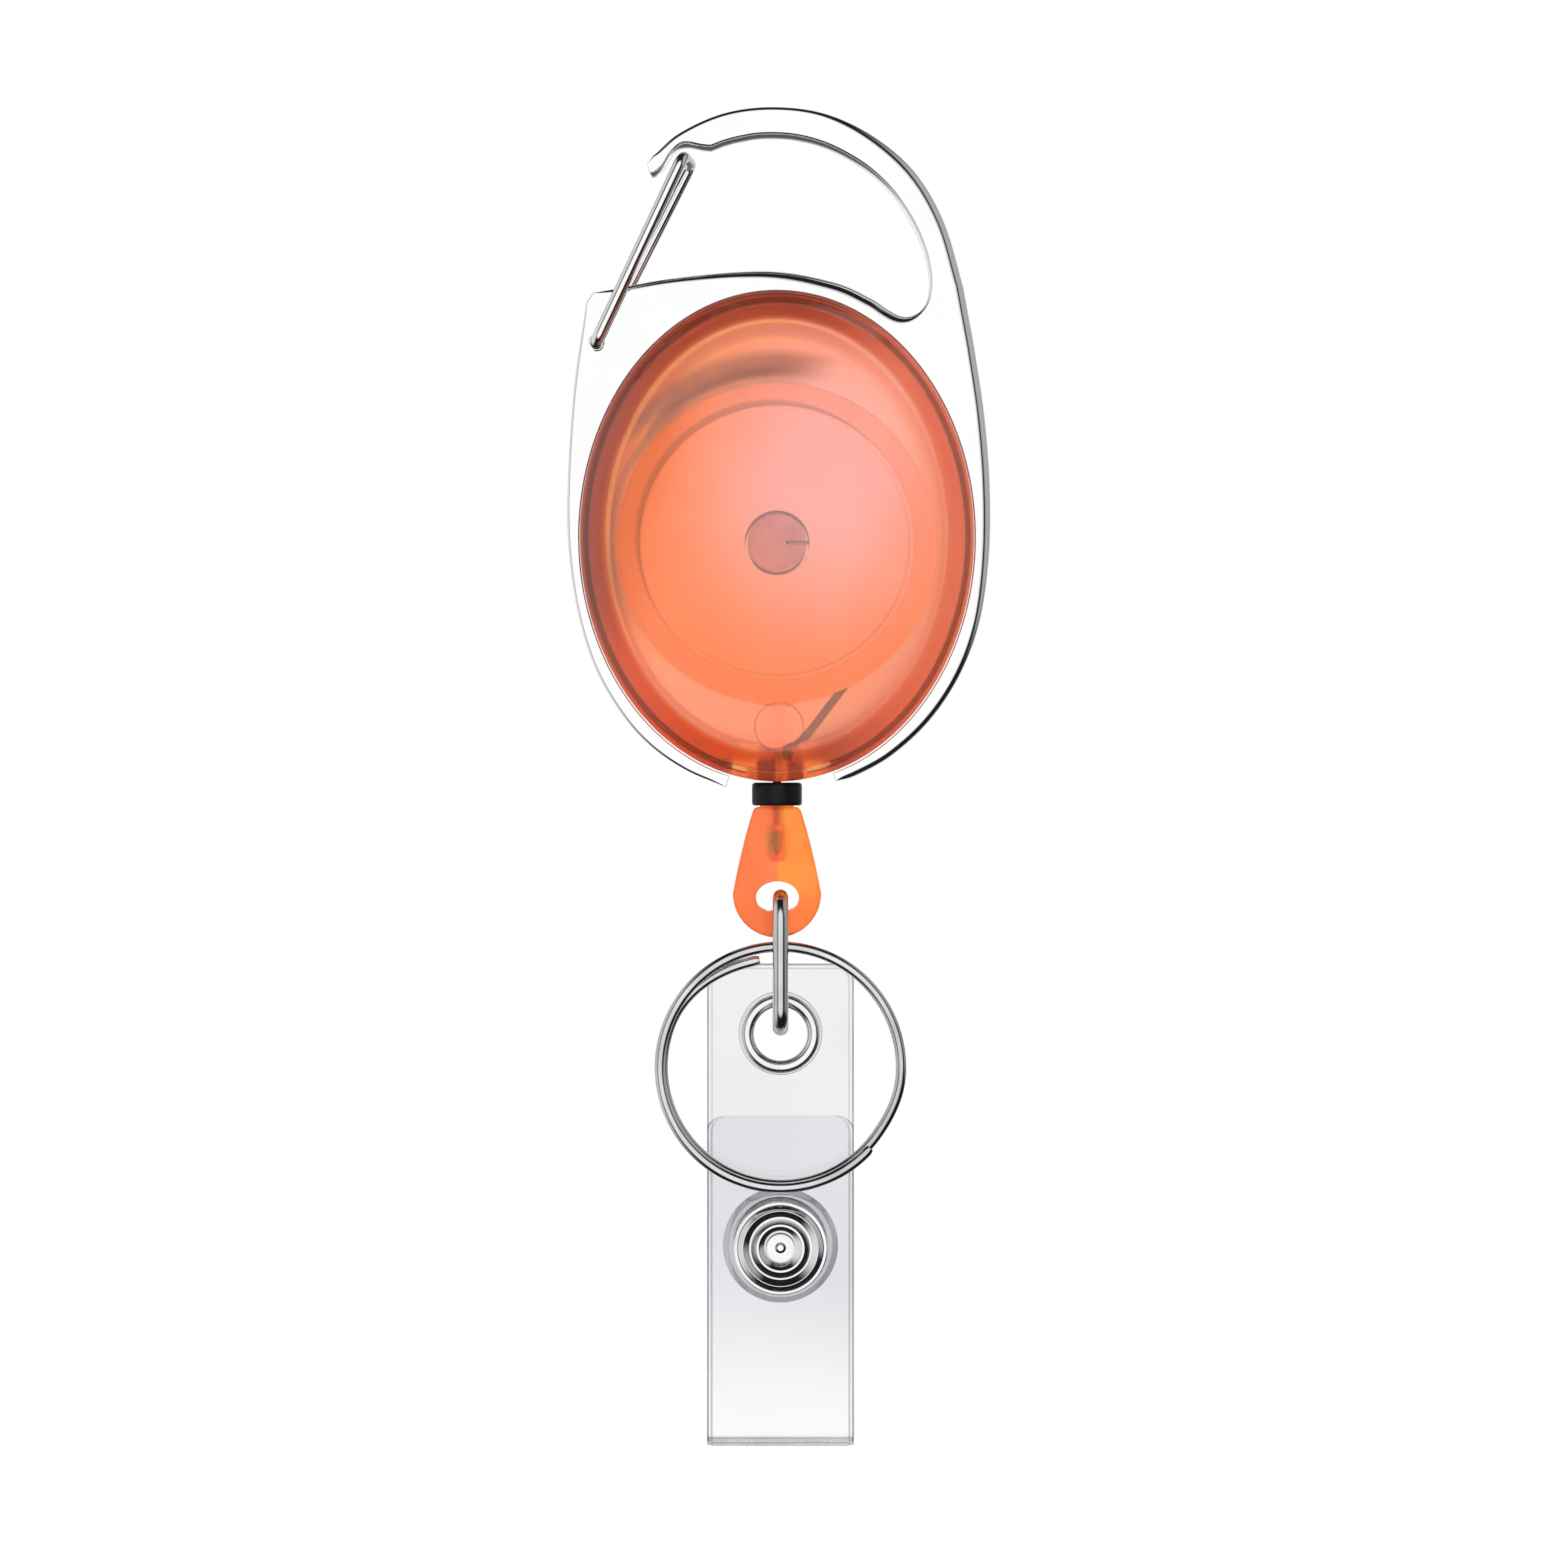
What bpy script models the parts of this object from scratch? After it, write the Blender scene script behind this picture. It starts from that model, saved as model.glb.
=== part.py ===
"""Retractable badge reel on a carabiner, with a pull tab, a key ring and a snap strap.

Metres, +Z up, front towards -Y. The origin is the inside of the hook's crown, where the reel hangs.
Lengths below are in millimetres, counted from the middle of the oval housing, and are moved and
scaled to the origin in metres as each object is made.
"""

from math import atan2, cos, hypot, pi, radians, sin

import bmesh
import bpy
from mathutils import Vector

MM = 0.001
HOOK_CROWN_Z = 40.2  # inside of the hook's crown, above the middle of the housing

# Carabiner frame
PLATE_HALF = 2.0
CLASP_X, CLASP_Z = 19.9, 24.7  # half-axes of the oval opening
TONGUE_HALF = 0.6
TONGUE_DEPTH = 1.5
EDGE_ROUND = 0.55

# Wire gate
GATE_PIVOT = (-18.0, 19.3)
GATE_TOP = (-9.35, 37.75)
GATE_WIRE = 0.6
GATE_LEG_Y = 2.9
GATE_REAR_SHIFT = 0.7  # how far the rear leg stands to the right of the front one at the top
PIVOT_HOLE = 0.85

# Housing
FACE_Y = 5.6
FACE_X, FACE_Z = 17.1, 21.55  # half-axes of the flat face
WAIST_X, WAIST_Z = 19.6, 24.4  # half-axes at the foot of the sloped rim
WAIST_Y = 2.6
RIM_Y = 0.9  # where each shell's rim stops, on either side of the frame's tongue
WALL = 1.2
BOSS_CENTRE = (-0.2, -19.05)
BOSS_R = 2.0
GUIDE_NOTCH_X = 2.9
GUIDE_NOTCH_Y = 2.1

# Reel
SPOOL_CENTRE_Z = -0.7
AXLE_R = 2.9
AXLE_HALF = 4.1
TENON_R = 1.5
FLANGE_R = 16.0
DRUM_R = 12.9
COVER_R = 13.6
CORD_R = 0.43
COIL_OUTER_R = 14.5
COIL_Y, COIL_HALF_Y = 0.2, 2.2
SPRING_TURNS = 6
SPRING_HALF = 0.1

# Pull tab
COLLAR_R = 2.5
COLLAR_TOP, COLLAR_FOOT = -24.65, -26.75
TAB_TOP = -26.9
TAB_TOP_HALF_X = 2.25
TAB_FOOT_Z, TAB_FOOT_R = -35.5, 4.4
TAB_HALF_Y = 1.8
TAB_HOLE_Z = -35.85
TAB_SADDLE_Z = -37.15  # top of the saddle that the link hangs on
KNOT_Z = -30.3

# Link, key ring and strap
HANG_X = 0.35
LINK_WIRE = 0.78
LINK_HALF_Y = 3.6
LINK_BAR_Z = -48.9
LINK_BEND = 2.0
RING_Z = -52.8
RING_R = 12.0
RING_PLANE_Y = -1.7
EYELET_Z = -49.6
STRAP_HALF_X = 7.35
STRAP_TOP, FOLD_Z = -42.6, -91.1
FLAP_END = -58.0
LONG_Y = (0.8, 1.3)
FLAP_Y = (2.9, 3.4)
FOLD_MIDDLE_Y = (LONG_Y[0] + FLAP_Y[1]) / 2
FOLD_TURN_Z = FOLD_Z + FLAP_Y[1] - FOLD_MIDDLE_Y
FOLD_GAP_DEG = 4.0
SNAP_Z = -71.1

ORANGE = (0.95, 0.30, 0.12)
CHROME = (0.82, 0.83, 0.85)
BLACK = (0.02, 0.02, 0.022)
VINYL = (0.88, 0.90, 0.93)


def clear_scene():
    """Empty the scene of the objects it starts with."""
    for obj in list(bpy.data.objects):
        bpy.data.objects.remove(obj, do_unlink=True)


def material(name, colour, roughness, metallic=0.0, alpha=1.0):
    """A Principled material, made once for each name."""
    mat = bpy.data.materials.get(name)
    if mat is None:
        mat = bpy.data.materials.new(name)
        mat.use_nodes = True
        mat.diffuse_color = (*colour, alpha)
        shader = mat.node_tree.nodes["Principled BSDF"]
        shader.inputs["Base Color"].default_value = (*colour, 1.0)
        shader.inputs["Roughness"].default_value = roughness
        shader.inputs["Metallic"].default_value = metallic
        shader.inputs["Alpha"].default_value = alpha
    return mat


def world(x, y, z):
    """A point in millimetres from the housing's middle, in metres from the origin."""
    return Vector((x * MM, y * MM, (z - HOOK_CROWN_Z) * MM))


def add_object(name, mesh_or_curve, mat, pivot=(0.0, 0.0, 0.0)):
    """Link an object that holds a mesh or curve, with its origin at pivot."""
    obj = bpy.data.objects.new(name, mesh_or_curve)
    bpy.context.scene.collection.objects.link(obj)
    obj.location = world(*pivot)
    mesh_or_curve.materials.append(mat)
    return obj


def mesh_object(name, bm, mat, pivot=(0.0, 0.0, 0.0), sharp=35.0):
    """Turn a bmesh drawn in millimetres into an object with its origin at pivot."""
    shift = Vector(pivot)
    for vert in bm.verts:
        vert.co = (vert.co - shift) * MM
    bmesh.ops.recalc_face_normals(bm, faces=bm.faces)
    mesh = bpy.data.meshes.new(name)
    bm.to_mesh(mesh)
    bm.free()
    mesh.shade_smooth()
    mesh.set_sharp_from_angle(angle=radians(sharp))
    return add_object(name, mesh, mat, pivot)


def bake_modifiers(obj):
    """Replace an object's mesh by what its modifiers make of it, and drop the modifiers."""
    graph = bpy.context.evaluated_depsgraph_get()
    mesh = bpy.data.meshes.new_from_object(obj.evaluated_get(graph))
    obj.modifiers.clear()
    obj.data = mesh


def cut(obj, *cutters):
    """Subtract closed objects from obj, then remove them."""
    for cutter in cutters:
        boolean = obj.modifiers.new("cut", "BOOLEAN")
        boolean.operation = "DIFFERENCE"
        boolean.object = cutter
    bake_modifiers(obj)
    for cutter in cutters:
        bpy.data.objects.remove(cutter, do_unlink=True)


def join(obj, *others):
    """Unite closed objects with obj, then remove them."""
    for other in others:
        boolean = obj.modifiers.new("join", "BOOLEAN")
        boolean.operation = "UNION"
        boolean.object = other
    bake_modifiers(obj)
    for other in others:
        bpy.data.objects.remove(other, do_unlink=True)


def smooth_path(points, steps):
    """Points along a Catmull-Rom curve through the given ones, ends included."""
    first = [2 * a - b for a, b in zip(points[0], points[1])]
    last = [2 * a - b for a, b in zip(points[-1], points[-2])]
    chain = [first, *points, last]
    path = []
    for i in range(1, len(chain) - 2):
        before, start, end, after = chain[i - 1 : i + 3]
        for step in range(steps):
            t = step / steps
            weights = (
                (-t + 2 * t**2 - t**3) / 2,
                (2 - 5 * t**2 + 3 * t**3) / 2,
                (t + 4 * t**2 - 3 * t**3) / 2,
                (t**3 - t**2) / 2,
            )
            corners = (before, start, end, after)
            path.append([sum(w * c[axis] for w, c in zip(weights, corners)) for axis in range(len(start))])
    path.append(list(points[-1]))
    return path


def arc(centre, radius_x, radius_z, start, end, steps):
    """Points on an arc of an ellipse in the XZ plane, from start to end degrees."""
    angles = [radians(start + (end - start) * i / steps) for i in range(steps + 1)]
    return [(centre[0] + radius_x * cos(a), centre[1] + radius_z * sin(a)) for a in angles]


def plate_mesh(outline, y_front, y_back):
    """A closed plate: an outline of (x, z) points extruded along Y."""
    bm = bmesh.new()
    front = bm.faces.new([bm.verts.new((x, y_front, z)) for x, z in outline])
    moved = bmesh.ops.extrude_face_region(bm, geom=[front])["geom"]
    back = [v for v in moved if isinstance(v, bmesh.types.BMVert)]
    bmesh.ops.translate(bm, verts=back, vec=(0.0, y_back - y_front, 0.0))
    return bm


def loft_mesh(rings):
    """A closed solid through rings of points that match one to one, capped at both ends."""
    bm = bmesh.new()
    loops = [[bm.verts.new(point) for point in ring] for ring in rings]
    for near, far in zip(loops, loops[1:]):
        for i in range(len(near)):
            j = (i + 1) % len(near)
            bm.faces.new((near[i], near[j], far[j], far[i]))
    bm.faces.new(loops[0])
    bm.faces.new(list(reversed(loops[-1])))
    return bm


def turned_mesh(profile, centre, steps):
    """A closed ring or disc: a loop of (radius, y) points turned about Y through centre (x, z)."""
    bm = bmesh.new()
    verts = [bm.verts.new((centre[0] + r, y, centre[1])) for r, y in profile]
    edges = [bm.edges.new((a, b)) for a, b in zip(verts, verts[1:])]
    if profile[0][0] > 0:
        edges.append(bm.edges.new((verts[-1], verts[0])))
    spin = {"cent": (centre[0], 0.0, centre[1]), "axis": (0.0, 1.0, 0.0), "angle": 2 * pi}
    bmesh.ops.spin(bm, geom=verts + edges, steps=steps, use_merge=True, **spin)
    bmesh.ops.remove_doubles(bm, verts=bm.verts, dist=1e-4)
    return bm


def turned(name, profile, centre, mat, steps=40):
    """A turned object with its origin on its own axis."""
    return mesh_object(name, turned_mesh(profile, centre, steps), mat, (centre[0], 0.0, centre[1]))


def drill(centre, radius, y_front, y_back, steps=24):
    """A round cutter along Y."""
    profile = [(0.0, y_front), (radius, y_front), (radius, y_back), (0.0, y_back)]
    return turned("drill", profile, centre, material("cutter", BLACK, 0.5), steps)


def box(x_span, y_span, z_span):
    """A plain box cutter."""
    x0, x1 = x_span
    z0, z1 = z_span
    outline = [(x0, z0), (x1, z0), (x1, z1), (x0, z1)]
    return mesh_object("box", plate_mesh(outline, *y_span), material("cutter", BLACK, 0.5))


def swept_mesh(path, section, closed=False):
    """A tube along 3-D points. Each section point is (along the path's side, along its lift)."""
    bm = bmesh.new()
    count = len(path)
    loops = []
    side = None
    for i, point in enumerate(path):
        ahead = Vector(path[(i + 1) % count] if closed else path[min(i + 1, count - 1)])
        behind = Vector(path[i - 1] if closed or i else path[0])
        along = (ahead - behind).normalized()
        if side is None:
            side = along.orthogonal().normalized()
        side = (side - along * side.dot(along)).normalized()
        lift = along.cross(side)
        loops.append([bm.verts.new(Vector(point) + side * a + lift * b) for a, b in section])
    spans = list(zip(loops, loops[1:]))
    if closed:
        spans.append((loops[-1], loops[0]))
    for near, far in spans:
        for k in range(len(section)):
            m = (k + 1) % len(section)
            bm.faces.new((near[k], near[m], far[m], far[k]))
    if not closed:
        bm.faces.new(loops[0])
        bm.faces.new(list(reversed(loops[-1])))
    return bm


def round_section(radius, sides):
    """A circle of points for swept_mesh."""
    return [(radius * cos(2 * pi * k / sides), radius * sin(2 * pi * k / sides)) for k in range(sides)]


# ---------------------------------------------------------------- carabiner


def frame_outline():
    """The plate's edge: left clasp arm, web, inside of the hook, nose, crown and right clasp arm."""
    left = [(-5.1, -24.9), (-13.2, -19.8), (-18.7, -10.5), (-20.6, 0.5), (-20.2, 12.0), (-19.0, 23.3)]
    web = [(-18.3, 24.3), (-10.4, 25.8), (-1.0, 26.55), (5.6, 25.5), (9.3, 23.9), (11.2, 22.7)]
    pit = [(12.3, 22.1), (13.3, 22.05), (14.3, 22.7), (15.0, 24.2), (15.2, 26.0)]
    hook_back = [(14.4, 29.4), (9.6, 36.4), (0.5, 40.15), (-5.3, 39.35)]
    nose = [(-6.6, 38.85), (-7.6, 38.95), (-9.3, 39.2), (-10.5, 38.3), (-11.4, 36.9), (-12.5, 36.25)]
    crown = [(-12.4, 37.9), (-7.0, 41.4), (1.0, 42.8), (9.6, 39.9), (15.6, 34.0), (18.6, 24.0)]
    right = [(19.9, 17.0), (21.2, 5.0), (20.6, -7.6), (15.2, -18.6), (8.8, -23.55), (5.9, -24.3)]
    hook = smooth_path(left, 4) + smooth_path(web + pit + hook_back, 3) + nose + [(-12.95, 37.1)]
    clasp = arc((0.0, 0.0), CLASP_X, CLASP_Z, -73.5, 256.0, 44)
    return hook + smooth_path(crown, 4) + smooth_path(right, 4) + clasp


def carabiner_frame(chrome):
    """Plate with rounded edges, a thin tongue that the shells grip, and the gate's pivot hole."""
    plate = mesh_object("carabiner_frame", plate_mesh(frame_outline(), -PLATE_HALF, PLATE_HALF), chrome)
    bevel = plate.modifiers.new("rounded edges", "BEVEL")
    bevel.width = EDGE_ROUND * MM
    bevel.segments = 1
    bevel.limit_method = "ANGLE"
    bevel.angle_limit = radians(50)
    bake_modifiers(plate)
    outer = arc((0.0, 0.0), CLASP_X + 0.3, CLASP_Z + 0.3, -72.0, 254.0, 36)
    inner = arc((0.0, 0.0), CLASP_X - TONGUE_DEPTH, CLASP_Z - TONGUE_DEPTH, 254.0, -72.0, 36)
    tongue = mesh_object("tongue", plate_mesh(outer + inner, -TONGUE_HALF, TONGUE_HALF), chrome)
    join(plate, tongue)
    cut(plate, drill(GATE_PIVOT, PIVOT_HOLE, -PLATE_HALF - 1, PLATE_HALF + 1, 16))
    return plate


def gate_leg(y, shift):
    """Half of the gate's wire, from inside the pivot hole to the middle of the top bar."""
    sign = 1 if y > 0 else -1
    px, pz = GATE_PIVOT
    tx, tz = GATE_TOP
    lean = atan2(tz - pz, tx - px)
    knee = 0.9
    low = (px + knee * cos(lean), pz + knee * sin(lean))
    high = (tx + shift - 1.1 * cos(lean), tz - 1.1 * sin(lean))
    return [
        (px, sign * 0.7, pz),
        (px, sign * 1.9, pz),
        (px + 0.15 * cos(lean), sign * 2.6, pz + 0.15 * sin(lean)),
        (low[0], y, low[1]),
        (high[0], y, high[1]),
        (tx + shift - 0.3 * cos(lean), sign * (abs(y) - 0.3), tz - 0.3 * sin(lean)),
        (tx + shift * 0.8, sign * (abs(y) - 1.2), tz),
    ]


def wire_gate(steel):
    """One bent wire: both ends turned into the pivot hole, legs either side, bar across the top."""
    front = gate_leg(-GATE_LEG_Y, 0.0)
    rear = gate_leg(GATE_LEG_Y, GATE_REAR_SHIFT)
    path = front + list(reversed(rear))
    bm = swept_mesh(path, round_section(GATE_WIRE, 10))
    return mesh_object("wire_gate", bm, steel, (GATE_PIVOT[0], 0.0, GATE_PIVOT[1]), sharp=70)


# ---------------------------------------------------------------- housing


def oval_ring(half_x, half_z, y, steps=44):
    """Points of an oval about the housing's middle, at one depth."""
    return [(x, y, z) for x, z in arc((0.0, 0.0), half_x, half_z, 0.0, 360.0 - 360.0 / steps, steps - 1)]


def shell(name, sign, plastic):
    """Half of the housing: flat oval face, sloped rim and short straight skirt. sign -1 is the front."""
    edge = 0.5
    outside = [
        oval_ring(FACE_X - edge, FACE_Z - edge, sign * FACE_Y),
        oval_ring(FACE_X + 0.15, FACE_Z + 0.15, sign * (FACE_Y - 0.25)),
        oval_ring(WAIST_X - 0.25, WAIST_Z - 0.25, sign * (WAIST_Y + 0.3)),
        oval_ring(WAIST_X, WAIST_Z, sign * (WAIST_Y - 0.3)),
        oval_ring(WAIST_X, WAIST_Z, sign * RIM_Y),
    ]
    hollow = [
        oval_ring(FACE_X - 0.9, FACE_Z - 0.9, sign * (FACE_Y - WALL)),
        oval_ring(WAIST_X - WALL, WAIST_Z - WALL, sign * (WAIST_Y - 0.5)),
        oval_ring(WAIST_X - WALL, WAIST_Z - WALL, 0.0),
    ]
    body = mesh_object(name, loft_mesh(outside), plastic, sharp=50)
    cavity = mesh_object("cavity", loft_mesh(hollow), plastic)
    notch = box((-GUIDE_NOTCH_X, GUIDE_NOTCH_X), sorted((0.0, sign * GUIDE_NOTCH_Y)), (-26.0, -21.0))
    socket = drill((0.0, SPOOL_CENTRE_Z), TENON_R + 0.3, sign * (FACE_Y - 0.5), sign * 3.0)
    cut(body, cavity, notch, socket)
    return body


def front_shell(plastic):
    """Front shell, with a boss and its pin that locate it on the rear shell."""
    body = shell("front_shell", -1, plastic)
    foot = 0.4 - FACE_Y
    profile = [(0.0, foot), (BOSS_R, foot), (BOSS_R, -0.15), (1.2, -0.15), (1.2, 2.2), (0.0, 2.2)]
    join(body, turned("boss", profile, BOSS_CENTRE, plastic, 24))
    return body


def rear_shell(plastic):
    """Rear shell, with the tubular boss that takes the front shell's pin."""
    body = shell("rear_shell", 1, plastic)
    foot = FACE_Y - 0.4
    profile = [(0.0, foot), (BOSS_R, foot), (BOSS_R, 0.15), (1.5, 0.15), (1.5, 2.7), (0.0, 2.7)]
    join(body, turned("boss", profile, BOSS_CENTRE, plastic, 24))
    return body


def cord_guide(plastic):
    """Exit bushing: a block in the shells' notch, with thin wings between their rims."""
    wings = arc((0.0, 0.0), WAIST_X - 0.1, WAIST_Z - 0.1, 256.0, 284.0, 8)
    inside = arc((0.0, 0.0), WAIST_X - WALL, WAIST_Z - WALL, 284.0, 256.0, 8)
    guide = mesh_object("cord_guide", plate_mesh(wings + inside, -0.6, 0.6), plastic)
    half = [(2.3, -24.2), (2.5, -23.9), (2.5, -22.9), (1.7, -21.9)]
    block = half + [(-x, z) for x, z in reversed(half)]
    join(guide, mesh_object("block", plate_mesh(block, -1.7, 1.7), plastic))
    bore = [(0.0, -26.0), (0.75, -26.0), (0.75, -23.2), (1.5, -21.5), (0.0, -21.5)]
    cut(guide, upright_turned("bore", bore, 0.0, plastic, 16))
    return guide


# ---------------------------------------------------------------- reel


def axle_post(metal):
    """Fixed post with a tenon at each end and a slot that takes the mainspring's inner end."""
    half, end = AXLE_HALF, AXLE_HALF + 0.8
    profile = [(0.0, -end), (TENON_R, -end), (TENON_R, -half), (AXLE_R, -half)]
    profile += [(AXLE_R, half), (TENON_R, half), (TENON_R, end), (0.0, end)]
    post = turned("axle_post", profile, (0.0, SPOOL_CENTRE_Z), metal, 28)
    cut(post, box((0.6, 4.0), (-2.9, 2.6), (SPOOL_CENTRE_Z - 0.3, SPOOL_CENTRE_Z + 0.3)))
    return post


def spool(plastic):
    """Open drum: front flange, wall that the cord winds on, and a floor with a bearing hole."""
    bearing = AXLE_R + 0.3
    profile = [
        (FLANGE_R, -3.0),
        (FLANGE_R, -2.4),
        (DRUM_R, -2.4),
        (DRUM_R, 2.8),
        (FLANGE_R, 2.8),
        (FLANGE_R, 3.4),
        (4.6, 3.4),
        (4.6, 4.0),
        (bearing, 4.0),
        (bearing, 2.8),
        (DRUM_R - 0.9, 2.8),
        (DRUM_R - 0.9, -3.0),
    ]
    return turned("spool", profile, (0.0, SPOOL_CENTRE_Z), plastic, 40)


def spool_cover(plastic):
    """Disc that closes the spring's chamber, with a raised lip round its edge."""
    profile = [
        (AXLE_R + 0.3, -3.25),
        (AXLE_R + 0.3, -3.85),
        (COVER_R - 0.5, -3.85),
        (COVER_R - 0.3, -4.1),
        (COVER_R, -4.1),
        (COVER_R, -3.25),
    ]
    return turned("spool_cover", profile, (0.0, SPOOL_CENTRE_Z), plastic, 40)


def wound_cord(cloth):
    """The cord's turns on the drum, two layers of five, as one ring."""
    inner, outer, half = DRUM_R + 0.2, COIL_OUTER_R, COIL_HALF_Y
    profile = [(inner, COIL_Y - half), (inner, COIL_Y + half), (outer - 0.3, COIL_Y + half)]
    profile += [(outer, COIL_Y + half - 0.3), (outer, COIL_Y - half + 0.3), (outer - 0.3, COIL_Y - half)]
    return turned("wound_cord", profile, (0.0, SPOOL_CENTRE_Z), cloth, 36)


def mainspring(steel):
    """Flat spiral strip, from a tang in the axle's slot out to the drum's wall."""
    inner, outer = AXLE_R + 0.55, DRUM_R - 1.35
    steps = 18 * SPRING_TURNS
    path = [(1.2, SPOOL_CENTRE_Z), (2.6, SPOOL_CENTRE_Z)]
    for i in range(steps + 1):
        angle = 2 * pi * SPRING_TURNS * i / steps + 0.12
        radius = inner + (outer - inner) * i / steps
        path.append((radius * cos(angle), SPOOL_CENTRE_Z + radius * sin(angle)))
    half = SPRING_HALF
    left, right = [], []
    for i, (x, z) in enumerate(path):
        ahead, behind = path[min(i + 1, len(path) - 1)], path[max(i - 1, 0)]
        dx, dz = ahead[0] - behind[0], ahead[1] - behind[1]
        length = hypot(dx, dz)
        left.append((x - dz / length * half, z + dx / length * half))
        right.append((x + dz / length * half, z - dx / length * half))
    bm = bmesh.new()
    rows = []
    for (lx, lz), (rx, rz) in zip(left, right):
        corners = ((lx, -2.6, lz), (rx, -2.6, rz), (rx, 2.3, rz), (lx, 2.3, lz))
        rows.append([bm.verts.new(corner) for corner in corners])
    for near, far in zip(rows, rows[1:]):
        for k in range(4):
            m = (k + 1) % 4
            bm.faces.new((near[k], near[m], far[m], far[k]))
    bm.faces.new(rows[0])
    bm.faces.new(list(reversed(rows[-1])))
    return mesh_object("mainspring", bm, steel, (0.0, 0.0, SPOOL_CENTRE_Z))


def cord_tail(cloth):
    """The cord from the edge of the winding, past the boss, through the guide and collar to its knot."""
    route = [
        (7.7, 0.0, -13.9),
        (5.2, 0.0, -17.2),
        (3.2, 0.0, -19.8),
        (1.45, 0.0, -21.3),
        (0.4, 0.0, -22.3),
        (0.0, 0.0, -23.7),
        (0.0, 0.0, -26.2),
        (0.0, 0.0, -28.45),
    ]
    points = smooth_path(route, 3)
    curve = bpy.data.curves.new("cord_tail", "CURVE")
    curve.dimensions = "3D"
    curve.bevel_depth = CORD_R * MM
    curve.bevel_resolution = 2
    curve.use_fill_caps = True
    spline = curve.splines.new("POLY")
    spline.points.add(len(points) - 1)
    for slot, point in zip(spline.points, points):
        slot.co = (*(Vector(point) * MM), 1.0)
    return add_object("cord_tail", curve, cloth)


# ---------------------------------------------------------------- tab


def upright_turned(name, profile, centre_x, mat, steps=28):
    """A closed solid turned about a vertical axis: profile points are (radius, z)."""
    bm = turned_mesh(profile, (0.0, 0.0), steps)
    for vert in bm.verts:
        x, y, z = vert.co
        vert.co = (x + centre_x, -z, y)
    return mesh_object(name, bm, mat, (centre_x, 0.0, profile[0][1]))


def cord_knot(cloth):
    """The knot, as a lumpy bead in the tab's pocket."""
    profile = [(0.0, KNOT_Z + 1.5), (0.5, KNOT_Z + 1.35), (0.9, KNOT_Z + 0.8), (0.8, KNOT_Z + 0.2)]
    profile += [(0.95, KNOT_Z - 0.4), (0.8, KNOT_Z - 1.1), (0.45, KNOT_Z - 1.5), (0.0, KNOT_Z - 1.6)]
    return upright_turned("cord_knot", profile, 0.0, cloth, 14)


def stop_collar(rubber):
    """Cup that slides over the tab's split neck, with a hole for the cord in its top."""
    top, foot, radius = COLLAR_TOP, COLLAR_FOOT, COLLAR_R
    profile = [
        (0.75, top),
        (radius - 0.25, top),
        (radius, top - 0.25),
        (radius, foot + 0.45),
        (radius - 0.45, foot),
        (2.0, foot),
        (2.0, top - 0.6),
        (0.75, top - 0.6),
    ]
    return upright_turned("stop_collar", profile, 0.0, rubber, 28)


def tab_half_width(z):
    """Half the teardrop's width above its round foot: nearly straight flanks."""
    t = (z - TAB_FOOT_Z) / (TAB_TOP - TAB_FOOT_Z)
    return TAB_TOP_HALF_X + (TAB_FOOT_R - TAB_TOP_HALF_X) * (1 - t) ** 0.9 + 0.35 * t * (1 - t)


def tab_outline():
    """The teardrop, anticlockwise from the top left corner."""
    down = [TAB_TOP + (TAB_FOOT_Z - TAB_TOP) * i / 8 for i in range(9)]
    left = [(-tab_half_width(z), z) for z in down]
    foot = arc((0.0, TAB_FOOT_Z), TAB_FOOT_R, TAB_FOOT_R, 188.0, 352.0, 16)
    right = [(tab_half_width(z), z) for z in reversed(down)]
    return left + foot + right


def pull_tab(plastic):
    """Split teardrop: neck inside the collar, slit and knot pocket, and the link's hole with its saddle."""
    teardrop = plate_mesh(tab_outline(), -TAB_HALF_Y, TAB_HALF_Y)
    tab = mesh_object("pull_tab", teardrop, plastic, (0.0, 0.0, TAB_HOLE_Z))
    bevel = tab.modifiers.new("soft edges", "BEVEL")
    bevel.width = 0.7 * MM
    bevel.segments = 2
    bevel.limit_method = "ANGLE"
    bevel.angle_limit = radians(60)
    bake_modifiers(tab)
    neck_foot, neck_top = TAB_TOP - 0.8, COLLAR_TOP - 0.95
    neck = [(0.0, neck_foot), (1.7, neck_foot), (1.7, neck_top), (0.0, neck_top)]
    join(tab, upright_turned("neck", neck, 0.0, plastic, 24))
    hole = arc((0.05, TAB_HOLE_Z - 0.1), 2.15, 1.65, -35.0, 215.0, 20)
    saddle_foot = TAB_SADDLE_Z - 0.1
    hole += [(-0.9, saddle_foot), (-0.5, TAB_SADDLE_Z), (0.6, TAB_SADDLE_Z), (1.0, saddle_foot)]
    pocket = [(0.0, KNOT_Z + 2.0), (1.1, KNOT_Z + 1.7), (1.3, KNOT_Z)]
    pocket += [(1.1, KNOT_Z - 1.8), (0.0, KNOT_Z - 2.1)]
    channel = [(0.0, COLLAR_TOP), (0.75, COLLAR_TOP), (0.75, KNOT_Z), (0.0, KNOT_Z)]
    cut(
        tab,
        mesh_object("hole", plate_mesh(hole, -3.0, 3.0), plastic),
        upright_turned("pocket", pocket, 0.0, plastic, 16),
        upright_turned("channel", channel, 0.0, plastic, 16),
        box((-0.15, 0.15), (-3.0, 3.0), (-35.0, -24.0)),
    )
    return tab


# ---------------------------------------------------------------- link and key ring


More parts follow.
